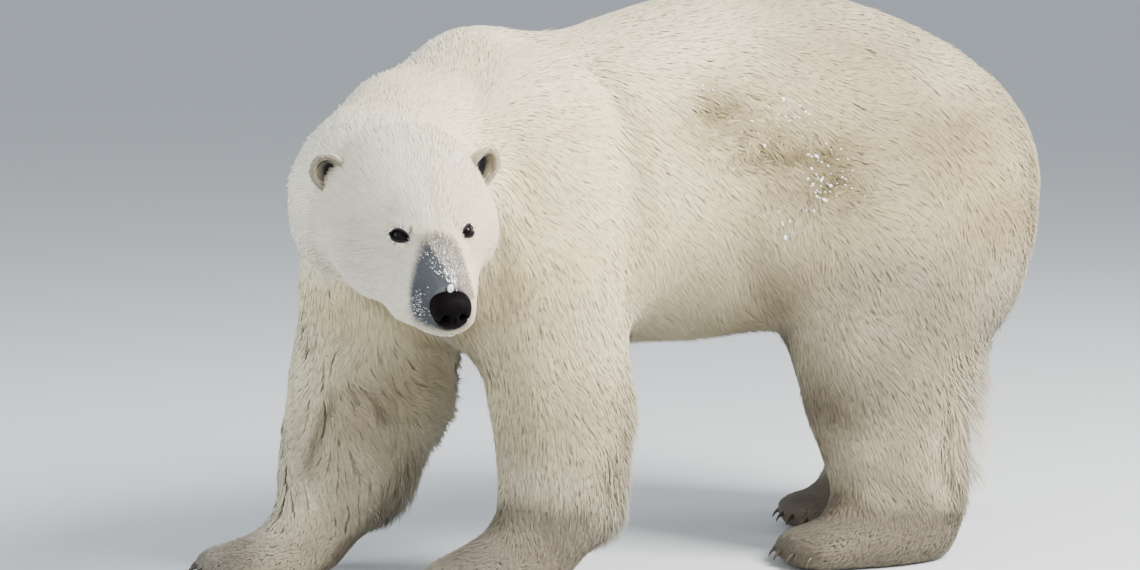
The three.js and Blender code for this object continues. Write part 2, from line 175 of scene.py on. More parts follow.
# %% Close the flesh into one guide body
LEGS = [f"{end}_{side}" for end in ("fore", "hind") for side in ("left", "right")]
FLESH = ["trunk", "tail", "neck", "head"]
FLESH += [f"{leg}_{part}" for leg in LEGS for part in ("upper", "lower", "paw")]
EARS = ["ear_left", "ear_right"]
WELD = 0.00005
SWELL = 0.0009
GUIDE_VOXEL = 0.014


def add_to(whole, part):
    """Joins one bmesh into another and lets it go."""
    scrap = bpy.data.meshes.new("scrap")
    part.to_mesh(scrap)
    whole.from_mesh(scrap)
    part.free()
    bpy.data.meshes.remove(scrap)


def in_order(shape):
    """The same bmesh with its points and faces numbered by place, alike in every run."""
    spots = [tuple(vert.co) for vert in shape.verts]
    order = sorted(range(len(spots)), key=spots.__getitem__)
    rank = {old: new for new, old in enumerate(order)}
    shape.verts.index_update()
    faces = [[rank[vert.index] for vert in face.verts] for face in shape.faces]
    shape.free()
    ordered = bmesh.new()
    verts = [ordered.verts.new(spots[k]) for k in order]
    for face in sorted(faces, key=sorted):
        ordered.faces.new([verts[k] for k in face])
    return ordered


def welded(names, swell):
    """One bmesh of copies of CAD nodes, each welded and swollen a hair."""
    joined = bmesh.new()
    for name in names:
        copy = bmesh.new()
        copy.from_mesh(nodes[name].data)
        bmesh.ops.remove_doubles(copy, verts=copy.verts, dist=WELD)
        copy.normal_update()
        for vert in copy.verts:
            vert.co += vert.normal * swell
        add_to(joined, copy)
    return joined


def closed(mesh, voxel):
    """The outside of a mesh as one even shell of quads."""
    holder = bpy.data.objects.new("shell", mesh)
    scene.collection.objects.link(holder)
    remesh = holder.modifiers.new("remesh", "REMESH")
    remesh.mode = "VOXEL"
    remesh.voxel_size = voxel
    seen = holder.evaluated_get(bpy.context.evaluated_depsgraph_get())
    shell = bpy.data.meshes.new_from_object(seen)
    bpy.data.objects.remove(holder)
    bpy.data.meshes.remove(mesh)
    return shell


EYE_OUT = np.array([0.56, 0.62, 0.55])  # the way the left eye faces, in the head's directions
EYE_FILL = 0.012
flesh = welded(FLESH + ["nose"], SWELL)
for name, side in (("eye_left", 1), ("eye_right", -1)):
    plug = welded([name], -2 * SWELL)
    inward = Vector(HEAD_AXES.T @ unit(EYE_OUT * [1, side, 1]) * -EYE_FILL)
    bmesh.ops.translate(plug, verts=plug.verts, vec=inward)
    add_to(flesh, plug)
flesh_mesh = bpy.data.meshes.new("flesh")
flesh.to_mesh(flesh_mesh)
flesh.free()
guide = closed(flesh_mesh, GUIDE_VOXEL)
print("guide body", len(guide.vertices), "points")

# %% [markdown]
# ## Which part of the body a point belongs to
# The coat is long on the belly and the legs, short on the face, and lies in another
# direction on each part. A point's part is the frame node nearest to it. Softened over a
# hand's breadth, these parts become weights, so that one part's coat turns smoothly into
# the next one's.

# %% Weights of the body's parts
PARTS = {
    "trunk": ["trunk"],
    "tail": ["tail"],
    "neck": ["neck"],
    "head": ["head"],
    "fore_upper": ["fore_left_upper", "fore_right_upper"],
    "hind_upper": ["hind_left_upper", "hind_right_upper"],
    "fore_lower": ["fore_left_lower", "fore_right_lower"],
    "hind_lower": ["hind_left_lower", "hind_right_lower"],
    "paw": [f"{leg}_paw" for leg in LEGS],
}
PART_NAMES = list(PARTS)

corners, faces, face_node = [], [], []
for name in FLESH:
    mesh = nodes[name].data
    mesh.calc_loop_triangles()
    start = len(corners)
    corners += [vert.co.copy() for vert in mesh.vertices]
    faces += [[start + k for k in face.vertices] for face in mesh.loop_triangles]
    face_node += [name] * len(mesh.loop_triangles)
flesh_tree = BVHTree.FromPolygons(corners, faces)
NODE_PART = {node: k for k, part in enumerate(PART_NAMES) for node in PARTS[part]}


def nearest_nodes(points):
    """The name of the frame node nearest to each point."""
    return np.array([face_node[flesh_tree.find_nearest(p)[2]] for p in points.tolist()])


def part_weights(names, edges, rounds):
    """How much each point belongs to each part, adding up to 1."""
    one = np.zeros((len(names), len(PART_NAMES)))
    one[np.arange(len(names)), [NODE_PART[name] for name in names]] = 1
    return soften(one, edges, 0.5, rounds)


def by_part(weights, values):
    """A value for each point from a value for each part."""
    return weights @ np.array([values[part] for part in PART_NAMES])


guide_points, guide_edges = points_of(guide), edges_of(guide)
guide_nodes = nearest_nodes(guide_points)
guide_weights = part_weights(guide_nodes, guide_edges, 25)
BLUR = {"trunk": 1.0, "tail": 0.35, "neck": 0.9, "head": 0.1, "fore_upper": 0.6,
        "hind_upper": 0.6, "fore_lower": 0.3, "hind_lower": 0.3, "paw": 0.08}
blur = 0.5 * by_part(guide_weights, BLUR)[:, None]
smooth = soften(guide_points, guide_edges, blur, 33)
smooth += soften(guide_points - smooth, guide_edges, blur, 33)
set_points(guide, smooth)
print("guide body smoothed; points of each part",
      dict(zip(PART_NAMES, guide_weights.sum(0).astype(int).tolist())))

# %% [markdown]
# ## Folds and fullness
# The loose skin folds where the neck meets the shoulder, behind the shoulder and in front
# of the thigh. Each fold is a path over the body, and the points near it are pressed in.
# In a few places the winter coat is fuller than the plain frame, and the points there are
# pushed out a little. Places and sizes are metres, amounts are millimetres.

# %% Press the folds in
FOLDS = [  # how deep, how wide, and the path
    (14, 0.034, [(0.00, -0.52, 1.16), (0.075, -0.53, 1.10), (0.13, -0.54, 1.04)]),
    (14, 0.036, [(0.13, -0.51, 0.84), (0.10, -0.50, 0.77), (0.06, -0.48, 0.68)]),
    (12, 0.042, [(-0.01, -0.22, 1.20), (0.07, -0.18, 1.09), (0.106, -0.16, 0.89),
                 (0.075, -0.15, 0.66)]),
    (6, 0.050, [(0.084, 0.135, 0.765), (0.0, 0.22, 0.64)]),
    (7, 0.050, [(-0.03, -0.46, 1.19), (0.084, -0.476, 1.056), (0.11, -0.45, 0.90)]),
]
FULLER = [  # how much, the spot, and how far it reaches
    (16, (-0.25, -0.76, 0.74), (0.20, 0.14, 0.13)),
    (18, (-0.42, -0.74, 0.71), (0.12, 0.12, 0.10)),
    (9, (-0.03, -0.90, 0.80), (0.16, 0.10, 0.07)),
    (28, (-0.12, -0.70, 1.13), (0.16, 0.09, 0.09)),
    (8, (0.10, -0.29, 0.97), (0.20, 0.08, 0.20)),
    (12, (-0.20, -0.43, 1.25), (0.20, 0.10, 0.08)),
    (10, (0.05, 1.03, 0.95), (0.40, 0.25, 0.35)),
    (36, (-0.05, -0.46, 0.60), (0.12, 0.12, 0.10)),
    (-28, (-0.43, -0.93, 0.15), (0.16, 0.12, 0.07)),
]
guide_points, guide_normals = points_of(guide), normals_of(guide)
push = np.zeros(len(guide_points))
for deep, wide, path in FOLDS:
    push -= deep * np.exp(-((from_path(guide_points, path) / wide) ** 2))
for much, spot, reach in FULLER:
    push += much * near(guide_points, spot, reach)
set_points(guide, guide_points + guide_normals * push[:, None] / 1000)
guide_points, guide_normals = points_of(guide), normals_of(guide)
print("folds from", push.min().round(1), "to", push.max().round(1), "mm")

# %% [markdown]
# ## How deep and how long the coat is
# The frame's outline is the coat's outline, so the skin has to lie inside it by the coat's
# depth: about 1 cm on the trunk and neck, and only a few millimetres on the muzzle. The
# same table gives the length and the width of a tuft. All the numbers are millimetres.

# %% The coat's measures
COAT = {  # depth, length, width of a tuft, and the gap between roots
    "trunk": (10, 56, 9.0, 6.0),
    "tail": (10, 48, 8.4, 5.6),
    "neck": (10, 48, 8.2, 5.5),
    "head": (7, 18, 3.4, 3.1),
    "fore_upper": (11, 50, 8.2, 5.6),
    "hind_upper": (11, 52, 8.4, 5.8),
    "fore_lower": (9, 40, 7.4, 5.2),
    "hind_lower": (9, 40, 7.4, 5.2),
    "paw": (7, 23, 5.8, 4.6),
}
NAPE_COAT = (9, 34, 5.0, 4.5)
JOWL_COAT = (10, 30, 4.2, 4.0)
MUZZLE_COAT = (3, 7, 2.3, 2.3)
LID_COAT = (3, 5.5, 2.2, 2.1)
EAR_COAT = (5, 16, 3.0, 2.5)
EYES = {side: head_of(np.array(middle(f"eye_{side}"))) - [0, 0, 4.0] for side in ("left", "right")}
NOSE = head_of(np.array(middle("nose")))
nose_places = head_of(points_of(nodes["nose"].data))
nose_low, nose_high = nose_places.min(0), nose_places.max(0)
nose_half = (nose_high - nose_low) / 2
NOSE_SET = np.array([-1.0, -1.5, -5.5])  # the pad hangs a little low in its seat


def coat_measures(points, weights):
    """Depth, length, width and gap of the coat at each point, in millimetres."""
    places = head_of(points)
    sizes = np.stack([by_part(weights, {p: COAT[p][k] for p in COAT}) for k in range(4)], axis=1)
    head = np.clip(weights[:, PART_NAMES.index("head")] * 1.6, 0, 1)
    muzzle = rise(places[:, 0], 10, 70) * head
    around_eyes = sum(near(places, EYES[side], (34, 30, 26)) for side in EYES) * head
    cheek = near(places, (-110, 0, -70), (90, 400, 70)) * rise(np.abs(places[:, 1]), 60, 110) * head
    nape = head * (1 - rise(places[:, 0], -235, -60))
    lids = np.clip(around_eyes, 0, 1)
    for k in range(4):
        sizes[:, k] += (NAPE_COAT[k] - sizes[:, k]) * nape
        sizes[:, k] += (JOWL_COAT[k] - sizes[:, k]) * cheek * (1 - nape)
        sizes[:, k] += (MUZZLE_COAT[k] - sizes[:, k]) * muzzle
        sizes[:, k] += (LID_COAT[k] - sizes[:, k]) * lids * (1 - muzzle)
    return sizes


guide_depth = soften(coat_measures(guide_points, guide_weights)[:, 0], guide_edges, 0.5, 4)
set_points(guide, guide_points - guide_normals * guide_depth[:, None] / 1000)
print("coat depth from", guide_depth.min().round(1), "to", guide_depth.max().round(1), "mm")

# %% [markdown]
# ## The skin
# The shrunk guide can fold where two forms meet, in the armpit or behind the jaw, so it is closed again
# into the real skin. The head needs finer detail than a flank, so its faces are subdivided: once over
# the head, again over the face, and once more around the eyes, the nose and the mouth. Smoothing after
# the second and the third step rounds the new points in.

# %% Close the skin and divide the head finer
SKIN_VOXEL = 0.0138
skin_mesh = closed(guide, SKIN_VOXEL)
LIP = [(158, 0, -134), (152, 24, -133), (138, 46, -128), (112, 60, -120), (72, 66, -118),
       (30, 68, -108), (0, 68, -100)]


def along(places, path):
    """The distance in millimetres from a path of head places, on both sides of the head."""
    return from_path(places * [1, 0, 1] + np.abs(places) * [0, 1, 0], path)


def fine_zone(places, step):
    """Which head places get a finer skin at each of the three steps."""
    on_head = np.linalg.norm(places - [-60, 0, -60], axis=1) < 270
    if step == 0:
        return on_head & (places[:, 0] > -260)
    if step == 1:
        return on_head & (places[:, 0] > -70) & (places[:, 2] > -150)
    eyes = np.min([np.linalg.norm(places - EYES[side], axis=1) for side in EYES], axis=0)
    return (eyes < 36) | (np.linalg.norm(places - NOSE, axis=1) < 62) | (along(places, LIP) < 12)


def relax(shape, verts):
    """Moves each of these points half way to the middle of its neighbours."""
    bmesh.ops.smooth_vert(shape, verts=verts, factor=0.5,
                          use_axis_x=True, use_axis_y=True, use_axis_z=True)


shape = bmesh.new()
shape.from_mesh(skin_mesh)
for step in range(3):
    centres = np.array([face.calc_center_median() for face in shape.faces])
    chosen = fine_zone(head_of(centres), step)
    rims = {edge for face, fine in zip(shape.faces, chosen) if fine for edge in face.edges}
    shape.edges.index_update()
    in_turn = sorted(rims, key=lambda edge: edge.index)
    bmesh.ops.subdivide_edges(shape, edges=in_turn, cuts=1, use_grid_fill=True)
    for _ in range(2):
        near_rim = [v for v in shape.verts if any(e in rims for e in v.link_edges)] if step else []
        relax(shape, near_rim)
    print("skin step", step, "faces", len(shape.faces))
bmesh.ops.triangulate(shape, faces=[face for face in shape.faces if len(face.verts) > 4])
shape.to_mesh(skin_mesh)
shape.free()
print("skin", len(skin_mesh.vertices), "points")

# %% [markdown]
# ## Sculpting the face
# An eye isn't stuck on the head: the lids are skin that is stretched over the ball, so a
# dome of lid is pressed out of the face around each eye, with an almond shaped opening in
# it. The brow stands over it. The lips meet in a groove that runs back from under the nose,
# and the nose pad sits in a shallow seat.


# %% Press out the lids, the lips and the seat of the nose
BALL = 20.5  # radius of the eyeball
BALL_DEEP = 12.0  # how far its middle lies under the frame's eye middle
LID = 23.5  # radius of the dome of the lids
ALMOND = (21.5, 12.0, 10.0)  # half length of the opening, height of the upper and the lower lid
SLIT = np.array([0.70, -0.70, 0.09])  # from the left eye's middle to its inner corner
SOCKET = 14.0  # how deep the opening is pressed in behind the lids
FACE_SWELLS = [  # how far out in millimetres, or in when negative, the spot, and its reach
    (24, (-55, -108, -162), (80, 46, 48)),
    (6, (20, -96, -160), (40, 36, 30)),
    (-8, (146, -2, -46), (20, 22, 14)),
    (12, (62, -78, -149), (44, 26, 26)),
    (-9, (100, 78, -108), (46, 26, 36)),
]


def eye_axes(side):
    """The directions of one eye: to the inner corner, up, and out of the head."""
    sign = 1 if side == "left" else -1
    out = unit(EYE_OUT * [1, sign, 1])
    slit = SLIT * [1, sign, 1]
    slit = unit(slit - out * (slit @ out))
    up = np.cross(out, slit)
    return np.array([slit, up if up[2] > 0 else -up, out])


def almond(x):
    """How far the upper and lower lid's edges are from the slit's line, at x along it."""
    span = np.clip(1 - (x / ALMOND[0]) ** 2, 0, 1) ** 0.65
    return ALMOND[1] * span, ALMOND[2] * span


def outside_almond(eye):
    """About how far a place beside an eye is outside the opening; negative inside."""
    upper, lower = almond(eye[:, 0])
    height = np.where(eye[:, 1] > 0, eye[:, 1] - upper, -eye[:, 1] - lower)
    return np.where(np.abs(eye[:, 0]) > ALMOND[0],
                    np.hypot(np.abs(eye[:, 0]) - ALMOND[0], eye[:, 1]), height)


def blend_up(a, b, width):
    """The higher of two heights, rounded where they cross."""
    share = np.clip(0.5 + 0.5 * (a - b) / width, 0, 1)
    return b + (a - b) * share + width * share * (1 - share)


def lip_height(places):
    """How high the lips' line is at each place along the muzzle."""
    return np.interp(-places[:, 0], [-spot[0] for spot in LIP], [spot[2] for spot in LIP])


skin_points, skin_edges = points_of(skin_mesh), edges_of(skin_mesh)
places = head_of(skin_points)
for side in EYES:
    axes = eye_axes(side)
    eye = (places - EYES[side]) @ axes.T
    reach = 1 - rise(np.linalg.norm(eye, axis=1), 30, 48)
    dome = np.sqrt(np.maximum(LID**2 - (eye[:, :2] ** 2).sum(1), 0)) - BALL_DEEP
    face = eye[:, 2] + 4.5 * near(eye, (-2, 22, 0), (30, 10, 40))
    face += 2.0 * near(eye, (0, -20, 0), (26, 9, 40))
    face -= 3.0 * near(eye, (22, -10, 0), (14, 14, 40))
    lids = blend_up(face, dome, 7)
    opening = 1 - rise(outside_almond(eye), -1.8, 0.0)
    height = lids + (-SOCKET - lids) * opening
    places += ((height - eye[:, 2]) * reach)[:, None] * axes[2]

skin_normals = normals_of(skin_mesh)
head_normals = skin_normals @ HEAD_AXES.T
lips = along(places, LIP)
over_lip = places[:, 2] > lip_height(places)
push = -4.5 * np.exp(-((lips / 3.2) ** 2))
push += np.where(over_lip, 2.6, 1.2) * np.exp(-(((lips - 7) / 5) ** 2))
seat = np.linalg.norm((places - NOSE - [0, -1, -4]) / [40, 44, 42], axis=1)
push -= 3.0 * np.exp(-(((seat - 1.02) / 0.07) ** 2))
furrow = rise(places[:, 0], -170, -110) * (1 - rise(places[:, 0], -10, 30)) * (places[:, 2] > 0)
push -= 3.5 * furrow * np.exp(-((places[:, 1] / 11) ** 2))
places += head_normals * push[:, None]
places[:, 0] -= 24 * (1 - rise(seat, 0.78, 0.96)) * (places[:, 0] > NOSE[0] - 12)
for much, spot, reach in FACE_SWELLS:
    places += head_normals * (much * near(places, spot, reach))[:, None]
skin_points = from_head(places)
set_points(skin_mesh, skin_points)
print("face sculpted; deepest press", push.min().round(1), "mm")

# %% [markdown]
# ## Ears and the rims of the lids
# A polar bear's ear is a small round cup. Half a sphere, cut open at the front, widened,
# and given a wall, makes it. The rim of each lid is a ring of bare dark skin: a thin torus
# that is bent along the almond's edge. Both are joined into the skin, so that it stays one
# object, and their points are marked, so that the coat knows where it is. Some operators
# number their points differently in every run; as tufts are scattered by number, each
# shape is put in order before it is joined in.


# %% Ears and lid rims
def head_matrix(axes, place):
    """Turns a shape made in an axes' own millimetres into metres in the frame."""
    turn = Matrix(np.column_stack([*(np.asarray(axes) @ HEAD_AXES / 1000)]).tolist()).to_4x4()
    return Matrix.Translation(Vector(from_head(place))) @ turn


EAR_SIZE = (40, 47, 28)  # half width, half height and depth of the cup
EAR_WALL = 9.5
EAR_LEAN = math.radians(20)  # the tops of the ears lean outwards
EAR_TURN = math.radians(24)  # and the cups open outwards
EAR_AT = {"left": (-222, 171, 10), "right": (-222, -169, 18)}


def ear_axes(side):
    sign = 1 if side == "left" else -1
    out = unit(np.array([math.cos(EAR_TURN), sign * math.sin(EAR_TURN), 0.12]))
    up = unit(np.array([-0.18, sign * math.sin(EAR_LEAN), math.cos(EAR_LEAN)]))
    up = unit(up - out * (up @ out))
    return np.array([np.cross(up, out), up, out])


def walled(cup, wall):
    """Gives an open cup an even wall: a copy of it moved inwards and joined at the edge."""
    cup.normal_update()
    moved = {}
    for vert in cup.verts:
        leans = [(loop.calc_angle(), abs(vert.normal.dot(loop.face.normal)))
                 for loop in vert.link_loops]
        even = sum(angle / lean for angle, lean in leans) / sum(angle for angle, _ in leans)
        moved[tuple(vert.co)] = vert.co - vert.normal * (wall * even)
    grown = bmesh.ops.extrude_face_region(cup, geom=cup.faces[:], use_keep_orig=True)["geom"]
    for vert in grown:
        if isinstance(vert, bmesh.types.BMVert):
            vert.co = moved[tuple(vert.co)]
    bmesh.ops.recalc_face_normals(cup, faces=cup.faces)
    return cup


def ear_shape(side):
    ear = bmesh.new()
    bmesh.ops.create_uvsphere(ear, u_segments=44, v_segments=30, radius=1)
    whole = ear.verts[:] + ear.edges[:] + ear.faces[:]
    bmesh.ops.bisect_plane(ear, geom=whole, plane_co=(0, 0, 0.12), plane_no=(0, 0, 1), clear_outer=True)
    for vert in ear.verts:
        narrow = 1 - 0.28 * max(-vert.co.y, 0)
        x, y, z = vert.co
        vert.co = Vector((x * EAR_SIZE[0] * narrow, y * EAR_SIZE[1], z * EAR_SIZE[2]))
    bmesh.ops.recalc_face_normals(ear, faces=ear.faces)
    ear = in_order(walled(in_order(ear), EAR_WALL))
    relax(ear, ear.verts)
    bmesh.ops.transform(ear, matrix=head_matrix(ear_axes(side), EAR_AT[side]), verts=ear.verts)
    return ear


RIM = 1.0  # half thickness of a lid's rim
RING = 30  # radius of the round ring before it is bent along the almond


def rim_shape(side):
    ring = bmesh.new()
    upright = Matrix.Translation((RING, 0, 0)) @ Matrix.Rotation(math.pi / 2, 4, "X")
    profile = bmesh.ops.create_circle(ring, segments=10, radius=RIM, matrix=upright)
    bmesh.ops.spin(ring, geom=profile["verts"] + ring.edges[:], cent=(0, 0, 0), axis=(0, 0, 1),
                   angle=2 * math.pi, steps=56, use_merge=True)
    bmesh.ops.remove_doubles(ring, verts=ring.verts, dist=0.01)
    ring = in_order(ring)
    for vert in ring.verts:
        angle = math.atan2(vert.co.y, vert.co.x)
        aside = math.hypot(vert.co.x, vert.co.y) - RING
        x = ALMOND[0] * math.cos(angle)
        upper, lower = almond(np.array(x))
        y = float(upper) if vert.co.y > 0 else -float(lower)
        way = Vector((math.cos(angle) / ALMOND[0], math.sin(angle) / ALMOND[1])).normalized()
        dome = math.sqrt(max(LID**2 - x * x - y * y, 4)) - BALL_DEEP
        vert.co = Vector((x + way.x * aside, y + way.y * aside, dome - 0.6 + vert.co.z))
    bmesh.ops.recalc_face_normals(ring, faces=ring.faces)
    bmesh.ops.transform(ring, matrix=head_matrix(eye_axes(side), EYES[side]), verts=ring.verts)
    return ring


shape = bmesh.new()
shape.from_mesh(skin_mesh)
part_names = ["body"] * len(shape.verts)
for side in EYES:
    for label, extra in ((f"ear_{side}", ear_shape(side)), (f"rim_{side}", rim_shape(side))):
        part_names += [label] * len(extra.verts)
        add_to(shape, extra)
shape.to_mesh(skin_mesh)
shape.free()
skin_part = np.array(part_names)
skin_points, skin_edges = points_of(skin_mesh), edges_of(skin_mesh)
print("skin with ears and rims", len(skin_points), "points")

# %% [markdown]
# ## Which way the coat lies
# Hair grows away from the nose: back over the skull and along the neck and the back, down
# the flanks and the legs, and out over the toes. One direction for each part, laid flat
# against the skin and softened, gives every point its lie. Slow waves turn it a little to
# either side, because a real coat is never combed straight.

# %% The lie of the coat
skin_normals = normals_of(skin_mesh)
skin_nodes = nearest_nodes(skin_points)
on_body = skin_part == "body"
tree_nodes = np.where(on_body, skin_nodes, "head")
skin_weights = part_weights(tree_nodes, skin_edges, 25)
measures = coat_measures(skin_points, skin_weights)
measures[skin_part != "body"] = EAR_COAT
inside_ear = np.zeros(len(skin_points))
for side in EYES:
    mine = skin_part == f"ear_{side}"
    inside_ear[mine] = rise(skin_normals[mine] @ (ear_axes(side)[2] @ HEAD_AXES), -0.1, 0.5)


def waves(points, size, seed):
    """A smooth random value from about -1 to 1 that changes over the given size in metres."""
    chance = np.random.default_rng(seed)
    total = np.zeros(len(points))
    for _ in range(7):
        way = unit(chance.normal(size=3)) * 2 * math.pi / (size * chance.uniform(0.7, 1.6))
        total += np.sin(points @ way + chance.uniform(0, 2 * math.pi))
    return total / 2.6


def weight_of(*parts):
    return sum(skin_weights[:, PART_NAMES.index(part)] for part in parts)


side_share, end_share = np.abs(skin_normals[:, 0]), np.abs(skin_normals[:, 1])
still = np.zeros(len(skin_points))
drop = 1.6 * side_share * (1 - rise(skin_points[:, 2], 0.62, 0.92))
neck_back = unit(np.array(middle("neck")) - from_head((-60, 0, -40)))
head_side = np.abs(skin_normals @ HEAD_AXES[1])
lie = {
    "trunk": np.stack([still, still + 1, -0.6 * side_share - 0.9 * end_share - drop], axis=1),
    "tail": np.stack([still, still + 0.3, still - 1], axis=1),
    "neck": neck_back + np.stack([still, still + 0.3, -0.5 * side_share - 0.5 * end_share], axis=1),
    "head": -HEAD_AXES[0] - 0.45 * head_side[:, None] * HEAD_AXES[2],
    "fore_upper": np.stack([still, still + 0.4, still - 1], axis=1),
    "hind_upper": np.stack([still, still + 0.5, still - 1], axis=1),
    "fore_lower": np.stack([still, still + 0.25, still - 1], axis=1),
    "hind_lower": np.stack([still, still + 0.3, still - 1], axis=1),
    "paw": np.stack([still, still - 1, still - 0.7], axis=1),
}
flow = sum(skin_weights[:, [k]] * unit(lie[part]) for k, part in enumerate(PART_NAMES))


def flat_on_skin(vectors, normals):
    return unit(vectors - normals * (vectors * normals).sum(1)[:, None])


for side in EYES:
    mine = skin_part == f"ear_{side}"
    flow[mine] = ear_axes(side)[1] @ HEAD_AXES
fore_right = np.isin(skin_nodes, ["fore_right_upper", "fore_right_lower"]).astype(float)
fore_right = soften(fore_right, skin_edges, 0.5, 12)
for side in EYES:
    from_eye = skin_points - from_head(EYES[side])
    around = near(head_of(skin_points), EYES[side], (26, 24, 24)) * on_body
    flow += 2.5 * around[:, None] * unit(from_eye)
PARTING_AT, PARTING_ACROSS = np.array([-0.27, -0.69, 0.50]), np.array([0.438, 0.899, 0.0])
fan = fore_right * np.clip((skin_points - PARTING_AT) @ PARTING_ACROSS / 0.07, -1, 1)
fan *= rise(skin_points[:, 2], 0.28, 0.42) * (1 - rise(skin_points[:, 2], 0.60, 0.72))
fan *= 0.8 + 1.1 * np.exp(-(((skin_points[:, 2] - 0.48) / 0.06) ** 2)) * (fan > 0)
flow += fan[:, None] * PARTING_ACROSS
flow = flat_on_skin(soften(flow, skin_edges, 0.5, 6), skin_normals)
DAMP_PATH = [(0.07, 0.05, 1.08), (0.09, 0.125, 1.03), (0.10, 0.20, 1.00), (0.10, 0.26, 0.99),
             (0.10, 0.36, 0.92)]
soaked = np.exp(-((from_path(skin_points, DAMP_PATH) / 0.078) ** 2))
soaked = np.clip(soaked * (0.8 + 0.2 * waves(skin_points, 0.08, 8)), 0, 1)
turn = 0.24 * waves(skin_points, 0.34, 5) + 0.16 * waves(skin_points, 0.11, 6)
turn += 0.75 * soaked * waves(skin_points, 0.06, 9)
turn = turn * (1 - 0.75 * weight_of("head")) + 0.35 * fore_right * waves(skin_points, 0.13, 7)
flow = flow * np.cos(turn)[:, None] + np.cross(skin_normals, flow) * np.sin(turn)[:, None]
flow = flat_on_skin(flow, skin_normals)

# Where the hair hangs free of the skin: under the belly, behind the legs and the rump.
behind, below, level = skin_normals[:, 1], -skin_normals[:, 2], skin_points[:, 2]
leg_back = weight_of("fore_upper", "fore_lower", "hind_lower") * rise(behind, 0.1, 0.7)
loose = leg_back * rise(level, 0.05, 0.13) * (1 - rise(level, 0.42, 0.62))
hanging = weight_of("trunk", "hind_upper", "fore_upper") * rise(below, 0.35, 0.85)
loose += 0.8 * hanging * rise(level, 0.35, 0.45)
rump = weight_of("trunk", "tail", "hind_upper")
loose += 0.6 * rump * rise(behind, 0.25, 0.8) * rise(level, 0.45, 0.6)
loose = np.clip(loose, 0, 1) * on_body
measures[:, 1:] *= np.stack([1 + 0.7 * loose, 1 - 0.30 * loose, 1 - 0.06 * loose], axis=1)
locks = np.clip(fore_right + 0.25 * leg_back + 0.25 * loose, 0, 1)
# Lines where the far foreleg's locks part; painted shade darkens the coat along them.
PARTINGS = [
    [(-0.285, -0.74, 0.47), (-0.294, -0.754, 0.424), (-0.302, -0.769, 0.354), (-0.31, -0.78, 0.26)],
    [(-0.272, -0.70, 0.61), (-0.272, -0.705, 0.55)],
    [(-0.272, -0.718, 0.475), (-0.268, -0.71, 0.44)],
    [(-0.262, -0.69, 0.465), (-0.255, -0.665, 0.43), (-0.252, -0.65, 0.40)],
]
hock = rise(level, 0.16, 0.26) * (1 - rise(level, 0.44, 0.56))
wrist = rise(level, 0.05, 0.1) * (1 - rise(level, 0.28, 0.45))
wispy = weight_of("hind_lower", "hind_upper") * rise(behind, 0.1, 0.6) * hock
wispy += 0.35 * weight_of("fore_lower", "fore_upper") * rise(behind, 0.0, 0.6) * wrist
wispy += 0.18 * rump * rise(behind, 0.3, 0.8)
wispy += 0.14 * weight_of("trunk") * rise(below, 0.7, 0.95)
wispy = np.clip(wispy, 0, 1) * on_body
# Painted shade along the partings, for the dark gaps between the locks.
parting_shade = np.max([np.exp(-((from_path(skin_points, path) / 0.008) ** 2)) for path in PARTINGS], axis=0)
print("lie of the coat set for", len(flow), "points")

# %% [markdown]
# ## Markings
# A polar bear's coat has no pattern, but it isn't one colour: it is stained yellow on the haunches,
# chest and shoulders, greyer on the lower legs, whiter on the face, and the dark skin shows through the
# short hair of the muzzle. Its grey also grows towards the bottom and the rear. Shade is painted under
# the body, in the folds and partings and round the brows. Light is painted on the faces that look up,
# on the side of the neck that faces forward and on a few spots of the legs, and the warm key lamp's
# light is painted on the head's left side as a creamier tone. Each marking is a value from 0 to 1 at
# every point of the skin, and each tuft takes its values from its root, so skin and coat always agree.

# %% Stain, grey and painted shade
HAUNCH_STAIN = [(0.115, 0.70, 0.98), (0.118, 0.774, 0.79), (0.14, 0.667, 0.34)]
STAINS = [  # how much yellower, the spot in metres, and how far it reaches
    (0.22, (0.08, -0.40, 0.62), (0.25, 0.22, 0.30)),
    (0.35, (-0.10, -0.50, 0.62), (0.30, 0.22, 0.22)),
    (0.12, (0.14, 0.55, 0.30), (0.30, 0.30, 0.22)),
    (0.60, (0.09, 0.16, 1.05), (0.2, 0.06, 0.06)),
    (0.40, (0.09, 0.36, 1.01), (0.2, 0.08, 0.05)),
    (0.70, (0.03, -0.49, 0.64), (0.12, 0.10, 0.12)),
]
# Spots that make the coat greyer, most at the near wrist and the paws. The negative spots are painted
# light, not cleaner hair: they lighten the back of the hock, the front of the thigh and the far
# foreleg.
GREY_SPOTS_AND_PAINTED_LIGHT = [  # how much greyer, or cleaner when negative, the spot, and its reach
    (1.50, (0.05, -0.43, 0.14), (0.18, 0.13, 0.07)),
    (0.90, (0.12, 0.40, 0.06), (0.25, 0.25, 0.08)),
    (0.20, (-0.30, -0.92, 0.06), (0.25, 0.25, 0.09)),
    (-0.35, (0.10, 0.71, 0.33), (0.30, 0.09, 0.16)),
    (-0.06, (0.07, -0.35, 0.38), (0.20, 0.20, 0.15)),
    (0.13, (-0.29, -0.76, 0.24), (0.14, 0.14, 0.16)),
    (-0.30, (-0.33, -0.84, 0.38), (0.12, 0.08, 0.30)),
    (-0.42, (0.02, 0.22, 0.62), (0.25, 0.14, 0.12)),
    (-0.30, (-0.18, -0.72, 0.14), (0.12, 0.12, 0.12)),
    (0.20, (-0.25, -0.62, 0.45), (0.25, 0.20, 0.25)),
]
head_share = np.clip(weight_of("head") * 1.4, 0, 1)
on_head = head_share > 0.3


def soft_spots(points, table):
    """The sum of a table's soft spots at each point."""
    return sum(much * near(points, spot, reach) for much, spot, reach in table)


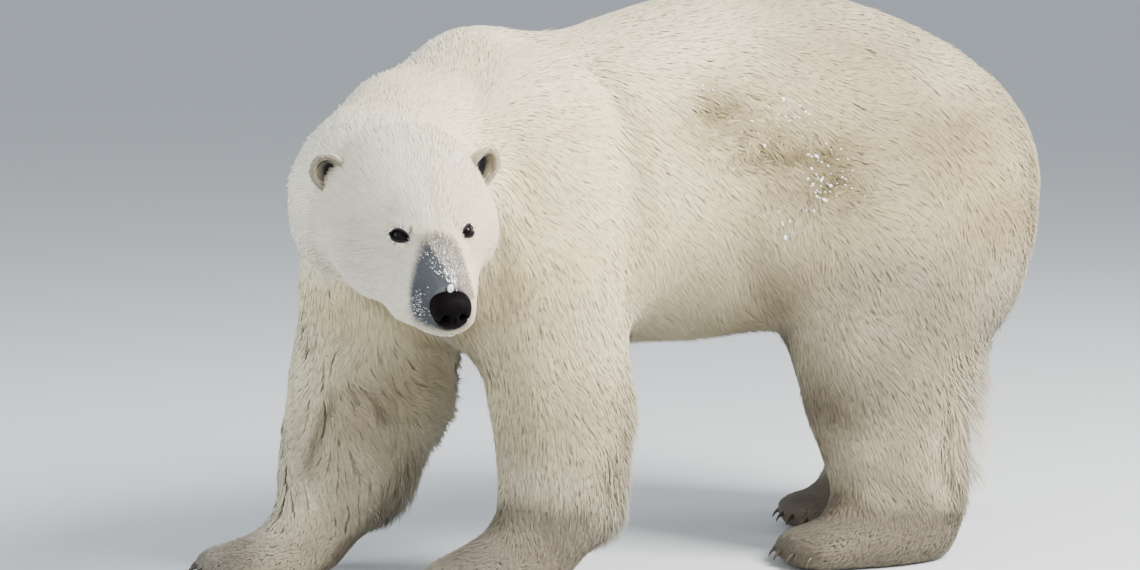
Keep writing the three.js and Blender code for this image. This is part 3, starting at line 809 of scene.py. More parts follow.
def stain_grey_and_shade(points, face):
    """How yellow and how grey the coat is over the body, with painted shade under it and in its folds
    and partings.
    """
    wide, fine = waves(points, 0.30, 21), waves(points, 0.09, 22)
    warm = 0.34 + 0.16 * wide + 0.10 * fine + soft_spots(points, STAINS)
    warm += 0.60 * np.exp(-((from_path(points, HAUNCH_STAIN) / 0.15) ** 2))
    warm *= 1 - 0.80 * face
    warm -= 0.22 * weight_of("fore_lower", "hind_lower", "hind_upper", "paw") + 0.35 * fore_right
    warm -= 0.35 * near(points, (-0.02, -0.46, 0.58), (0.12, 0.12, 0.12))
    rear, high = rise(points[:, 1], -0.15, 0.30), rise(points[:, 2], 0.35, 0.75)
    # Greyer towards the bottom and the rear and on the legs, with the spots of the table above.
    grey_and_shade = 0.62 * rise(-points[:, 2], -1.0, -0.10) + 0.06 * wide + soft_spots(points, GREY_SPOTS_AND_PAINTED_LIGHT)
    grey_and_shade += (0.10 + 0.05 * fine) * weight_of("fore_lower", "hind_lower", "paw")
    grey_and_shade += 0.10 * weight_of("fore_upper", "hind_upper") + rear * (0.40 + 0.20 * high) + 0.04
    grey_and_shade -= 0.34 * weight_of("hind_lower") * rise(points[:, 2], 0.03, 0.13)
    grey_and_shade -= 0.06 * weight_of("hind_upper") + 0.06 * fore_right
    # Painted shade: darker where the coat faces down, under the belly, the neck and the legs.
    grey_and_shade += 0.36 * rise(-skin_normals[:, 2], 0.2, 0.8)
    grey_and_shade *= 1 - face
    # Painted shade along the folds.
    for _, wide_fold, path in FOLDS:
        grey_and_shade += 0.15 * np.exp(-((from_path(points, path) / wide_fold) ** 2)) * (1 - head_share)
    # Painted shade along the partings of the far foreleg.
    return warm, grey_and_shade + 0.38 * parting_shade


places = head_of(skin_points)
face = 1 - rise(np.linalg.norm(places - [-60, 0, -60], axis=1), 160, 350)
warm, grey_and_shade = stain_grey_and_shade(skin_points, face)
# Painted shade round the brows, down the furrow of the forehead and on the right cheek.
brow_shade = sum(near(places, (-36, spot, 30), (36, 36, 26)) for spot in (-74, 74))
brow_shade += soft_spots(places, [(0.6, (-80, -6, 60), (60, 11, 70)), (0.8, (-70, -150, -60), (60, 40, 60))])
grey_and_shade += 0.15 * brow_shade * head_share
# Whiter on the face and the legs. Painted light makes the faces that look up paler, and the side of the
# neck that faces forward, towards the cool sky lamp. The head's left side, towards the warm key lamp,
# is painted creamier.
pale = 0.75 * face + 0.35 * rise(skin_normals[:, 2], 0.2, 0.9) + 0.2 * weight_of("fore_upper")
pale += 0.4 * weight_of("fore_lower", "hind_lower", "hind_upper", "paw")
pale += 0.6 * weight_of("neck") * rise(-skin_normals[:, 1], 0.2, 0.9)
pale = np.clip(pale - 0.35 * face * rise(places[:, 1], -60, 60), 0, 1)
print("mean yellow", round(float(warm.mean()), 2), "and mean grey", round(float(grey_and_shade.mean()), 2))

# %% [markdown]
# ## Dark skin and frost on the face
# The skin of a polar bear is black. It shows where the hair is thin: in a patch over the muzzle that
# narrows towards the eyes, on the lips, the lids and inside the ears; the darker wedge deep in each ear
# cup is painted shade. Frost has whitened the left half of the bridge. The patch's edges are given as
# heights along the muzzle, the rest as soft spots and lines in the head's own millimetres.

# %% Face markings
# Places forward of the eyes, and how high the dark skin's edge is there on each side.
RIGHT_EDGE = ([29, 43, 60, 84, 103, 114, 127, 149], [0, -21, -45, -66, -89, -107, -123, -128])
LEFT_EDGE = ([28, 32, 41, 61, 92, 120, 133], [10, 3, -18, -36, -46, -58, -75])
ICY_EDGE = ([30, 59, 98, 134], [-24, -11, 1, 3])  # the frost begins this far to the left


def muzzle_patch(places):
    """The dark patch on the muzzle, and the part of it that is frosted."""
    forward, aside, up = places.T
    left_share = rise(aside, -16, 18)
    right_edge = np.interp(forward, *RIGHT_EDGE)
    edge = right_edge + (np.interp(forward, *LEFT_EDGE) - right_edge) * left_share
    patch = rise((up - edge) / (1 - 0.6 * left_share), -12, 18) * on_head
    patch *= rise(forward - 23 - 6 * rise(aside, -20, 26), -4, 8)
    return patch, rise(aside - np.interp(forward, *ICY_EDGE), -6, 8)


def eye_marks(places):
    """Dark skin and black rims round the eyes."""
    lids, ink = np.zeros(len(places)), np.zeros(len(places))
    for side in EYES:
        eye = (places - EYES[side]) @ eye_axes(side).T
        close = np.linalg.norm(eye, axis=1) < 60
        ink = np.maximum(ink, close * (1 - rise(outside_almond(eye), 2.5, 5.0)))
        lids = np.maximum(lids, close * (1 - rise(outside_almond(eye), 3.0, 6.5)))
        lids = np.maximum(lids, 0.95 * near(eye, (21, 2, 2), (7, 7, 14)))
        lids = np.maximum(lids, 0.30 * near(eye, (24, 1, 2), (9, 6, 14)))
    return lids, ink


def ear_marks(places, side):
    """How deep inside its cup a place of this ear is, for the painted shade there, and which places
    face into the cup.
    """
    cup = (places - EAR_AT[side]) @ ear_axes(side).T
    sign = 1 if side == "left" else -1
    inside = inside_ear * (skin_part == f"ear_{side}")
    return near(cup, (-1 * sign, -8, 0), (20, 31, 60)) * inside, inside


patch, icy = muzzle_patch(places)
lids, ink = eye_marks(places)
forward, aside, up = places.T
from_nose = np.linalg.norm((places - NOSE - NOSE_SET) / nose_half, axis=1)
bridge = patch * (1 - 0.65 * icy)
bridge = np.maximum(bridge, (1 - rise(from_nose, 1.05, 1.35)) * (1 - 0.5 * rise(aside, 20, 40)))
side_of_nose = near(places, (136, -58, -104), (30, 26, 28))
under_nose = near(places, (150, 0, -118), (30, 34, 16))
upper_lip = np.exp(-((along(places, LIP) / 9) ** 2)) * rise(forward, 84, 128)
upper_lip *= rise(up - lip_height(places), -3, 1)
dark = [0.94 * bridge, 0.95 * side_of_nose, under_nose, 0.95 * upper_lip, lids]
dark = np.clip(np.maximum.reduce(dark) * on_head, 0, 1)
# Inside the ears the skin is dark; deep in each cup the darker wedge is painted shade.
for side in EYES:
    deep, inside = ear_marks(places, side)
    dark = np.maximum(dark, np.maximum(1.3 * deep, 0.6 * inside))
    ink = np.maximum(ink, 3.0 * deep - 0.6)
rims = np.char.startswith(skin_part, "rim")
dark[rims], ink[rims] = 1, 1
corner_marks = [(1.7, (6, -53, 10), (5, 5, 5)), (1.0, (4, 62, 8), (5, 5, 7))]
ink = np.maximum(ink, soft_spots(places, corner_marks) * on_head)
ink = np.clip(np.maximum(ink, 0.6 * under_nose * on_head), 0, 1)
frost = patch * (0.85 * icy + 0.5 * near(places, (124, -58, -92), (26, 26, 34)))
marks = {"warm": np.clip(warm, 0, 1), "grey_and_shade": np.clip(grey_and_shade, 0, 1), "pale": pale, "dark": dark,
         "damp": soaked, "frost": np.clip(frost, 0, 1) * on_head, "ink": ink}
print({name: (round(float(v.min()), 2), round(float(v.max()), 2)) for name, v in marks.items()})

# %% [markdown]
# ## Where tufts grow
# Roots are scattered over the skin's triangles, more where the coat is fine. Purely random
# places leave bald spots and heaps, so the space is divided into small cells and only one
# root is kept in each.

# %% Scatter roots
skin_mesh.calc_loop_triangles()
triangles = np.empty(len(skin_mesh.loop_triangles) * 3, np.int32)
skin_mesh.loop_triangles.foreach_get("vertices", triangles)
triangles = triangles.reshape(-1, 3)
tri_corners = skin_points[triangles]
tri_sides = tri_corners[:, 1:] - tri_corners[:, :1]
tri_area = np.linalg.norm(np.cross(tri_sides[:, 0], tri_sides[:, 1]), axis=1) / 2
tri_node = np.where(on_body, skin_nodes, skin_part)[triangles[:, 0]]


def scatter(chosen, spacing):
    """Roots on the chosen triangles, about a spacing apart: triangle numbers and corner shares."""
    gap = spacing[triangles].mean(1) / 1000
    crowd = np.where(chosen, tri_area / gap**2, 0)
    count = int(crowd.sum() * 2.4)
    picked = rng.choice(len(crowd), size=count, p=crowd / crowd.sum())
    a, b = rng.random(count), rng.random(count)
    flip = a + b > 1
    a[flip], b[flip] = 1 - a[flip], 1 - b[flip]
    shares = np.stack([1 - a - b, a, b], axis=1)
    spots = (tri_corners[picked] * shares[:, :, None]).sum(1)
    level = np.round(np.log(gap[picked]) / 0.12)
    cell = np.exp(level * 0.12)
    keys = np.column_stack([level, np.floor(spots / cell[:, None])]).astype(np.int64)
    _, kept = np.unique(keys, axis=0, return_index=True)
    return picked[kept], shares[kept]


def at_roots(values, picked, shares):
    """Values at the roots, between the values at the three corners around each."""
    corner = values[triangles[picked]]
    return (corner * (shares if corner.ndim == 2 else shares[:, :, None])).sum(1)


def tree_of(points):
    tree = KDTree(len(points))
    for k, point in enumerate(points.tolist()):
        tree.insert(point, k)
    tree.balance()
    return tree


def nearest(tree, points):
    return np.array([tree.find(p)[1] for p in points.tolist()])


skin_tree = tree_of(skin_points)
print("scatter ready over", round(float(tri_area.sum()), 2), "square metres of skin")

# %% [markdown]
# ## One tuft
# A tuft is a thin three-sided lock: a base hidden in the skin, a middle, and a point. On
# the face the hair is so short that a single straight spike does. Both are given as lists
# of a few points, and the tables below say what each point is for: the triangles between
# the points, each point's place in the tuft's patch of the colour map, how far its shading
# leans aside, how far it lies across and along the tuft, and how much its shading follows
# the skin under the tip.

# %% Tuft shapes
LOCK = {
    "faces": np.array([(0, 1, 2), (0, 2, 3), (0, 3, 1), (1, 4, 2), (2, 4, 3), (1, 3, 4)]),
    "patch": np.array([(0, -1), (-1, 0), (1, 0), (0, 0.2), (0, 1)]),
    "lean": [0.0, -0.26, 0.26, 0.0, 0.0],
    "across": [0, -1, 1, 0, 0],
    "tip": [0.0, 0.5, 0.5, 0.55, 1.0],
    "follow": [0, 0.5, 0.5, 0.5, 1],
}
SPIKE = {
    "faces": np.array([(0, 1, 2), (0, 3, 1), (1, 3, 2), (0, 2, 3)]),
    "patch": np.array([(-1, -1), (1, -1), (0, -0.7), (0, 1)]),
    "lean": [-0.35, 0.35, 0.0, 0.0],
    "across": [-1, 1, 0, 0],
    "tip": [0.0, 0.0, 0.15, 1.0],
    "follow": [0, 0, 0.1, 1],
}
PATCH = 0.0015  # half the width of a tuft's place in the colour map


def mesh_of(name, points, faces):
    """A mesh from arrays of points and triangles."""
    mesh = bpy.data.meshes.new(name)
    mesh.vertices.add(len(points))
    mesh.vertices.foreach_set("co", points.astype(np.float32).ravel())
    mesh.loops.add(faces.size)
    mesh.loops.foreach_set("vertex_index", faces.astype(np.int32).ravel())
    mesh.polygons.add(len(faces))
    mesh.polygons.foreach_set("loop_start", np.arange(0, faces.size, 3, dtype=np.int32))
    mesh.polygons.foreach_set("use_smooth", np.ones(len(faces), bool))
    mesh.update(calc_edges=True)
    return mesh


def put(mesh, name, values):
    """Stores a value at each point for a material to read."""
    attribute = mesh.attributes.new(name, "FLOAT", "POINT")
    attribute.data.foreach_set("value", np.asarray(values, np.float32))


print("a lock has", len(LOCK["faces"]), "triangles and a spike", len(SPIKE["faces"]))

# %% [markdown]
# ## Aiming the tufts
# A tuft leaves the skin steeply, then lies down along the coat, and its point comes to rest
# at the coat's full depth, over the roots of the tufts behind. Under the belly and behind
# the legs nothing holds it down, and it hangs free. Tips lean together in small clumps, as
# hair does: each little cell of the coat has one leader, and the others bend towards its
# line. Wisps are longer and thinner tufts of the same kind.

# %% Aim the tufts
ROOT_UNDER = 0.0015  # how deep a tuft's base is hidden in the skin
ABOVE_FLOOR = 0.002  # no tip comes lower than this
FLYAWAY = 0.04  # the share of tufts that stand out a little
STRAY, STRAY_DAMP = 0.10, 0.55  # how far tufts turn from the lie, dry and damp
THIN = 0.42  # a wisp's width against a tuft's


def aimed(picked, shares, values, wisp):
    """Roots, the skin's way out, the hair's way, and each tuft's depth, length and width."""
    count = len(picked)
    root = at_roots(skin_points, picked, shares)
    normal = unit(at_roots(skin_normals, picked, shares))
    way = flat_on_skin(at_roots(flow, picked, shares), normal)
    depth, length, width = (at_roots(measures[:, k], picked, shares) / 1000 for k in range(3))
    stray = rng.normal(size=count) * (STRAY + STRAY_DAMP * values["damp"])
    way = unit(way + np.cross(way, normal) * stray[:, None])
    length = length * rng.uniform(0.78, 1.15, count)
    if wisp > 1:
        length *= 0.7 + wisp * at_roots(wispy, picked, shares)
    depth = depth * rng.uniform(0.76, 1.10, count) * (1 - 0.2 * values["damp"])
    width = width * rng.uniform(0.75, 1.25, count) * (THIN if wisp > 1 else 1)
    return root, normal, way, depth, length, width


def tips_of(root, normal, way, depth, length, free_share, out):
    """Where the tufts end, and the skin's way out below their ends."""
    target = root + way * length[:, None]
    foot = nearest(skin_tree, target)
    foot_normal = skin_normals[foot]
    above = ((target - skin_points[foot]) * foot_normal).sum(1)
    tip = target - foot_normal * (above - depth)[:, None]
    free = root + unit(way + out * normal) * length[:, None]
    tip += (free - tip) * free_share[:, None]
    flyaway = (rng.random(len(root)) < FLYAWAY) * rng.uniform(0.1, 0.7, len(root)) * depth
    return tip + normal * flyaway[:, None], foot_normal


def leaders_of(root, lock):
    """Each tuft's leader: the first one in the nearest cell of the given size."""
    scaled = root / (np.array(lock) / 1000)
    _, leaders = np.unique(np.floor(scaled).astype(np.int64), axis=0, return_index=True)
    return leaders[nearest(tree_of(scaled[leaders]), scaled)]


# %% [markdown]
# ## Growing a piece of coat
# A piece takes its roots, aims its tufts, and writes all of them into one mesh at once. Each
# tuft carries the markings of its root and a tone of its own, half of it shared with its
# leader. The shading of a tuft mostly follows the skin below it, so that thousands of small
# forms read as one soft surface.

# %% Grow a piece of coat
def grow(name, picked, shares, unwrap, lock=(20, 40, 20), clump=0.06, spike=False, wisp=1.0):
    """Builds one piece of coat from its roots."""
    count = len(picked)
    values = {mark: at_roots(marks[mark], picked, shares) for mark in marks}
    root, normal, way, depth, length, width = aimed(picked, shares, values, wisp)
    free_share, out = at_roots(loose, picked, shares), 0.45
    if wisp > 1:
        values["grey_and_shade"] = 0.75 * values["grey_and_shade"]
        free_share = np.maximum(free_share, 1)
        out = 0.15 + 0.8 * at_roots(wispy, picked, shares)[:, None]
    tip, foot_normal = tips_of(root, normal, way, depth, length, free_share, out)
    locked = at_roots(locks, picked, shares)
    pull = np.clip(clump + 0.30 * values["damp"] + 0.55 * locked, 0, 0.85)
    pull *= rng.uniform(0.4, 1.0, count)
    white = rng.random(count) < 0.17 * values["frost"]
    for mark in ("frost", "dark"):
        values[mark] = np.where(white, 0.1 * values[mark], values[mark])
    leader = leaders_of(root, lock)
    apart = tip[leader] - tip
    apart -= way[leader] * (apart * way[leader]).sum(1)[:, None]
    apart *= pull[:, None]
    tip += apart
    tip[:, 2] = np.maximum(tip[:, 2], ABOVE_FLOOR)
    lift = tip - root
    run = unit(lift - normal * (lift * normal).sum(1)[:, None] * 0.5)
    side = unit(np.cross(run, normal))
    root = root - normal * ROOT_UNDER
    half = side * (width / 2)[:, None]
    kind = SPIKE if spike else LOCK
    if spike:
        rings = [root - half, root + half, root + normal * (width * 0.5)[:, None], tip]
    else:
        steep = length * 0.5 if wisp > 1 else depth * 1.25
        bend = root + normal * steep[:, None] + way * (length * 0.36)[:, None]
        centre = 0.25 * root + 0.5 * bend + 0.25 * tip + 0.3 * apart
        ridge = unit(normal + foot_normal) * (width * 0.18)[:, None]
        rings = [root, centre - half, centre + half, centre + ridge, tip]
    sides = len(rings)
    points = np.stack(rings, axis=1).reshape(-1, 3)
    wobble = rng.normal(size=(count, 3)) * 0.055
    shade = [unit(normal * (1 - t) + foot_normal * t + side * s + wobble)
             for s, t in zip(kind["lean"], kind["follow"])]
    shade = np.stack(shade, axis=1).reshape(-1, 3)
    faces = (np.arange(count)[:, None, None] * sides + kind["faces"][None]).reshape(-1, 3)
    mesh = mesh_of(name, points, faces)
    spot = unwrap(at_roots(skin_points, picked, shares))
    chart = (spot[:, None, :] + kind["patch"][None] * PATCH).reshape(-1, 2)
    layer = mesh.uv_layers.new(name="OFBake")
    layer.data.foreach_set("uv", chart[faces.ravel()].astype(np.float32).ravel())
    tone = rng.normal(size=count) * 0.5 + rng.normal(size=count)[leader] * 0.5
    values["tone"] = tone * (1 + 1.6 * values["damp"] + 0.8 * locked)
    for mark, value in values.items():
        put(mesh, mark, np.repeat(value, sides))
    for mark in ("tip", "across"):
        put(mesh, mark, np.tile(kind[mark], count))
    mesh.normals_split_custom_set_from_vertices(shade.astype(np.float32))
    piece = bpy.data.objects.new(name, mesh)
    scene.collection.objects.link(piece)
    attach(piece, "root")
    print(name, count, "tufts,", len(faces), "triangles")
    return piece


# %% [markdown]
# ## A colour map for each piece
# A coat piece needs a flat map, so that its colours can be baked. The part of the body is
# unrolled round an axis like a label from a can, and each tuft gets a small patch at its
# root's place on the label.

# %% Unroll a part
def round_unwrap(chosen, axis, centre):
    """Unrolls a part of the body round an axis: the angle across, the length up the chart."""
    axis = unit(np.array(axis, float))
    across = unit(np.cross(axis, [0.3, 0.2, 1.0] if abs(axis[2]) < 0.7 else [1.0, 0.1, 0.2]))
    other = np.cross(axis, across)

    def chart(points):
        arms = points - centre
        radius = np.linalg.norm(arms - (arms @ axis)[:, None] * axis, axis=1)
        return np.stack([np.arctan2(arms @ other, arms @ across), arms @ axis - 0.5 * radius], axis=1)

    known = chart(skin_points[np.unique(triangles[chosen])])
    low, high = known.min(0), known.max(0)
    return lambda points: 0.02 + 0.96 * np.clip((chart(points) - low) / (high - low), 0, 1)


# %% [markdown]
# ## The whole coat
# The coat is grown in pieces, one for each quarter of the trunk, the neck, each leg, the
# head and the ears, so no piece becomes too heavy to work with. Behind the hocks and the
# wrists a few long thin wisps stand out from the rest; they are grown as a piece of their
# own. Round the eyes, on the nose and along the lips nothing grows.

# %% Grow the coat
def node_set(*names):
    return np.isin(tri_node, names)


def centre_of(chosen):
    return tri_corners[chosen].mean((0, 1))


spacing = measures[:, 3]
FRONT_ENDS = 0.12  # the trunk's front pieces end here
hair = {}
trunk = node_set("trunk", "tail")
left_half = tri_corners[:, :, 0].mean(1) > centre_of(trunk)[0]
front_half = tri_corners[:, :, 1].mean(1) < FRONT_ENDS
for label, chosen in (
    ("coat_flank_left_front", trunk & left_half & front_half),
    ("coat_flank_left_back", trunk & left_half & ~front_half),
    ("coat_flank_right_front", trunk & ~left_half & front_half),
    ("coat_flank_right_back", trunk & ~left_half & ~front_half),
):
    unwrap = round_unwrap(chosen, (0, 1, 0), centre_of(trunk))
    hair[label] = grow(label, *scatter(chosen, spacing), unwrap)
chosen = node_set("neck")
unwrap = round_unwrap(chosen, neck_back, centre_of(chosen))
hair["coat_neck"] = grow("coat_neck", *scatter(chosen, spacing), unwrap)
for leg in LEGS:
    chosen = node_set(f"{leg}_upper", f"{leg}_lower", f"{leg}_paw")
    unwrap = round_unwrap(chosen, (0, 0, 1), centre_of(chosen))
    lock = (22, 22, 70) if leg == "fore_right" else (15, 15, 45)
    hair[f"coat_{leg}"] = grow(f"coat_{leg}", *scatter(chosen, spacing), unwrap, lock=lock)
chosen = rng.random(len(triangles)) < 3 * wispy[triangles].mean(1)
unwrap = round_unwrap(chosen, (0, 0, 1), centre_of(chosen))
wide_apart = np.full(len(skin_points), 9.5)
hair["coat_wisps"] = grow("coat_wisps", *scatter(chosen, wide_apart), unwrap, wisp=1.2)
chosen = node_set("head")
unwrap = round_unwrap(chosen, HEAD_AXES[0], centre_of(chosen))
bare = np.zeros(len(skin_points), bool)
for side in EYES:
    eye = (head_of(skin_points) - EYES[side]) @ eye_axes(side).T
    bare |= (np.linalg.norm(eye, axis=1) < 40) & (outside_almond(eye) < 3.4)
    bare |= np.linalg.norm(eye - [23, 1, 0], axis=1) < 5
bare |= np.linalg.norm((head_of(skin_points) - NOSE) / [42, 43, 42], axis=1) < 0.99
bare |= (along(head_of(skin_points), LIP) < 1.6) & (head_of(skin_points)[:, 0] > 20)
chosen &= ~bare[triangles].any(1)
short = {"lock": (14, 14, 14), "clump": 0.2, "spike": True}
hair["coat_head"] = grow("coat_head", *scatter(chosen, spacing), unwrap, **short)
chosen = node_set(*EARS)
unwrap = round_unwrap(chosen, HEAD_AXES[1], centre_of(chosen))
short = {"lock": (9, 9, 9), "clump": 0.3, "spike": True}
hair["coat_ears"] = grow("coat_ears", *scatter(chosen, spacing), unwrap, **short)

# %% [markdown]
# ## Eyes
# A bear's eye is a small dark ball set deep between its lids, with a clear cornea that
# stands a little prouder than the ball. The ball is a sphere whose front is pressed out,
# and each point keeps how far it is from the middle of the pupil, so that the material can
# draw the pupil and the brown iris round it.


# %% Eyeballs
def eyeball(side):
    ball = bmesh.new()
    bmesh.ops.create_uvsphere(ball, u_segments=40, v_segments=32, radius=BALL)
    ball = in_order(ball)
    for vert in ball.verts:
        vert.co.z += 1.3 * max(vert.co.z / BALL - 0.78, 0) / 0.22
    place = EYES[side] - eye_axes(side)[2] * BALL_DEEP
    from_pupil = [vert.co.xy.length / BALL if vert.co.z > 0 else 1.0 for vert in ball.verts]
    bmesh.ops.transform(ball, matrix=head_matrix(eye_axes(side), place), verts=ball.verts)
    return finished(ball, f"eyeball_{side}", "eye", f"eye_{side}", pupil=from_pupil)


def finished(shape, name, slot, *stands_for, **values):
    """Makes a bmesh a smooth piece that rides on the body and stands for CAD nodes."""
    bmesh.ops.recalc_face_normals(shape, faces=shape.faces)
    mesh = bpy.data.meshes.new(name)
    shape.to_mesh(mesh)
    shape.free()
    mesh.polygons.foreach_set("use_smooth", np.ones(len(mesh.polygons), bool))
    for key, numbers in values.items():
        put(mesh, key, numbers)
    piece = bpy.data.objects.new(name, mesh)
    scene.collection.objects.link(piece)
    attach(piece, "root")
    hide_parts(*stands_for)
    print(name, len(mesh.polygons), "faces")
    return piece


eyeballs = [eyeball(side) for side in EYES]

# %% [markdown]
# ## Nose
# The nose pad is bare, black and a little wet. It starts as a fine icosphere that is pressed
# into the pad's form: broad and flat in front, with a round top edge, narrower below, two
# comma-shaped nostrils that open to the front and run out to the sides, and a short groove
# down the middle to the lip.

# %% Nose pad
def nose_pad():
    pad = bmesh.new()
    bmesh.ops.create_icosphere(pad, subdivisions=6, radius=1)
    spots = np.array([vert.co for vert in pad.verts])
    squared = spots / (np.abs(spots) ** 2.6).sum(1)[:, None] ** (1 / 2.6)
    front = rise(spots[:, 0], -0.1, 0.8)
    x, y, z = squared.T
    y = y * (1 + 0.03 * rise(z, 0.1, 0.6) - 0.30 * rise(-z, -0.1, 1.0))
    x = x * (1 - 0.10 * rise(z, 0.2, 1.0)) - 0.10 * rise(-z, 0.3, 1.0)
    wide, high = np.abs(y) - 0.42, z - 0.02
    hole = np.exp(-((wide / 0.17) ** 2 + ((high + 0.25 * wide) / 0.21) ** 2))
    slit = np.exp(-(((high + 0.22 + 0.2 * wide) / 0.075) ** 2))
    slit *= rise(np.abs(y), 0.42, 0.62) * (1 - rise(np.abs(y), 0.92, 1.02))
    groove = np.exp(-((y / 0.055) ** 2)) * rise(-z, -0.35, 0.05)
    lobe = np.exp(-(((np.abs(y) - 0.62) / 0.2) ** 2 + ((z - 0.18) / 0.3) ** 2))
    x = x - front * (0.55 * hole + 0.22 * slit + 0.13 * groove - 0.05 * lobe)
    y = y * (1 - 0.08 * slit)
    placed = np.stack([x, y * 1.04, z], axis=1) * nose_half * 0.99 + (nose_low + nose_high) / 2
    placed += NOSE_SET
    for vert, place in zip(pad.verts, from_head(placed)):
        vert.co = place
    return finished(pad, "nose_pad", "nose_skin", "nose", pit=np.clip(hole * front, 0, 1))


nose_piece = nose_pad()

# %% [markdown]
# ## Claws
# Each claw is a short curved horn, thick at the root and pointed at the tip, mostly hidden
# in the hair of the toes. A circle is extruded and turned a little at each step, which
# draws the curve, and shrunk towards the tip. The five claws of a paw are one piece.


# %% Claws
CLAW_STEPS = 9


def claw_shape(name, heel):
    """One curved claw inside its CAD node, pointing away from the heel of the paw."""
    low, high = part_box(name)
    ahead = (low + high) / 2 - heel
    ahead.z = 0
    ahead.normalize()
    size = high.z - low.z
    across = Vector((0, 0, 1)).cross(ahead)
    claw = bmesh.new()
    ring = bmesh.ops.create_circle(claw, segments=14, radius=1)["verts"]
    for vert in ring:
        vert.co = across * (vert.co.x * 0.135 * size) + Vector((0, 0, 1)) * (vert.co.y * 0.17 * size)
    middle_at = (low + high) / 2 - ahead * 0.40 * size
    middle_at.z = low.z + 0.66 * size
    bmesh.ops.translate(claw, verts=claw.verts, vec=middle_at)
    edges, at = claw.edges[:], middle_at.copy()
    for step in range(CLAW_STEPS):
        grown = bmesh.ops.extrude_edge_only(claw, edges=edges)["geom"]
        fresh = [g for g in grown if isinstance(g, bmesh.types.BMVert)]
        edges = [g for g in grown if isinstance(g, bmesh.types.BMEdge)]
        droop = math.radians(12 + 62 * step / (CLAW_STEPS - 1))
        stride = ahead * math.cos(droop) - Vector((0, 0, 1)) * math.sin(droop)
        stride *= size * 0.90 / CLAW_STEPS
        at += stride
        bmesh.ops.translate(claw, verts=fresh, vec=stride)
        turn = Matrix.Rotation(math.radians(62 / CLAW_STEPS), 3, across)
        bmesh.ops.rotate(claw, verts=fresh, cent=at, matrix=turn)
        thin = 1 - 0.085 * (step + 1) - 0.10 * (step == CLAW_STEPS - 1)
        before = 1 - 0.085 * step
        for vert in fresh:
            vert.co = at + (vert.co - at) * max(thin, 0.06) / before
    bmesh.ops.contextual_create(claw, geom=edges)
    return in_order(claw)


def claws_of(leg):
    names = [f"{leg}_claw_{k}" for k in range(1, 6)]
    heel = middle(f"{leg}_paw")
    paw = bmesh.new()
    for name in names:
        add_to(paw, claw_shape(name, heel))
    return finished(paw, f"claws_{leg}", "claw", *names)


claw_pieces = [claws_of(leg) for leg in LEGS]

# %% [markdown]
# ## Beads of ice
# Breath and spray freeze into small white beads on the muzzle's hair, the largest just
# above the nose, and on the damp hair of the flank. One small icosphere is copied to many
# places, each copy squeezed to its own size. The beads sit in the tips of the coat.


# %% Ice beads
BEADS = [  # how many, smallest and largest radius, the spot, its reach, and metres or head
    (60, 0.6, 1.3, (50, 0, -8), (22, 30, 14), "head"),
    (90, 0.7, 1.8, (84, 4, -22), (28, 24, 16), "head"),
    (50, 0.9, 2.4, (112, 4, -30), (18, 14, 12), "head"),
    (6, 2.2, 3.6, (128, 5, -35), (9, 8, 6), "head"),
    (2, 6.0, 7.0, (143, -1, -42), (3, 4, 4), "head"),
    (100, 0.5, 1.2, (96, 34, -38), (36, 16, 22), "head"),
    (90, 0.6, 1.5, (124, -60, -92), (20, 16, 26), "head"),
    (26, 0.8, 1.6, (146, 8, -146), (14, 40, 8), "head"),
    (3, 2.0, 3.0, (154, 4, -150), (4, 4, 4), "head"),
    (16, 1.6, 4.4, (0.05, 0.01, 1.145), (0.10, 0.03, 0.03), "frame"),
    (28, 2.0, 5.0, (0.09, 0.236, 1.085), (0.10, 0.03, 0.03), "frame"),
    (26, 2.0, 5.0, (0.10, 0.35, 0.93), (0.10, 0.05, 0.05), "frame"),
    (10, 2.0, 5.0, (0.09, 0.227, 0.83), (0.10, 0.04, 0.04), "frame"),
    (14, 2.0, 4.6, (0.10, 0.300, 0.89), (0.10, 0.03, 0.04), "frame"),
    (50, 1.4, 3.6, (0.10, 0.20, 1.02), (0.15, 0.14, 0.09), "frame"),
]


def bead_mesh():
    shape = bmesh.new()
    bmesh.ops.create_icosphere(shape, subdivisions=2, radius=1)
    one = np.array([vert.co for vert in shape.verts])
    one_faces = np.array([[vert.index for vert in face.verts] for face in shape.faces])
    shape.free()
    middle_of_triangle = tri_corners.mean(1)
    spots, sizes = [], []
    for count, small, large, spot, reach, kind in BEADS:
        here = head_of(middle_of_triangle) if kind == "head" else middle_of_triangle
        chance = near(here, spot, reach) * tri_area
        if kind == "frame":
            chance *= skin_normals[triangles[:, 0], 0] > 0.2
        else:
            chance *= np.linalg.norm((here - NOSE - NOSE_SET) / nose_half, axis=1) > 1.02
        picked = rng.choice(len(chance), size=count, p=chance / chance.sum())
        height = measures[triangles[picked, 0], 0] * 0.75 / 1000
        radius = (small + (large - small) * rng.random(count) ** 3) / 1000
        outward = unit(skin_normals[triangles[picked]].mean(1))
        spots.append(middle_of_triangle[picked] + outward * (height + radius * 0.3)[:, None])
        hair_way = flow[triangles[picked, 0]]
        stretch = radius[:, None] * rng.uniform([0.9, 0.5, 0.5], [1.9, 1.0, 0.8], (count, 3))
        frames = np.stack([hair_way, np.cross(outward, hair_way), outward], axis=1)
        sizes.append(frames * stretch[:, :, None])
    spots, sizes = np.concatenate(spots), np.concatenate(sizes)
    points = (spots[:, None, :] + one @ sizes).reshape(-1, 3)
    faces = (np.arange(len(spots))[:, None, None] * len(one) + one_faces[None]).reshape(-1, 3)
    return mesh_of("ice_beads", points, faces)


beads = bpy.data.objects.new("ice_beads", bead_mesh())
scene.collection.objects.link(beads)
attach(beads, "root")
print("ice beads", len(beads.data.polygons), "faces")

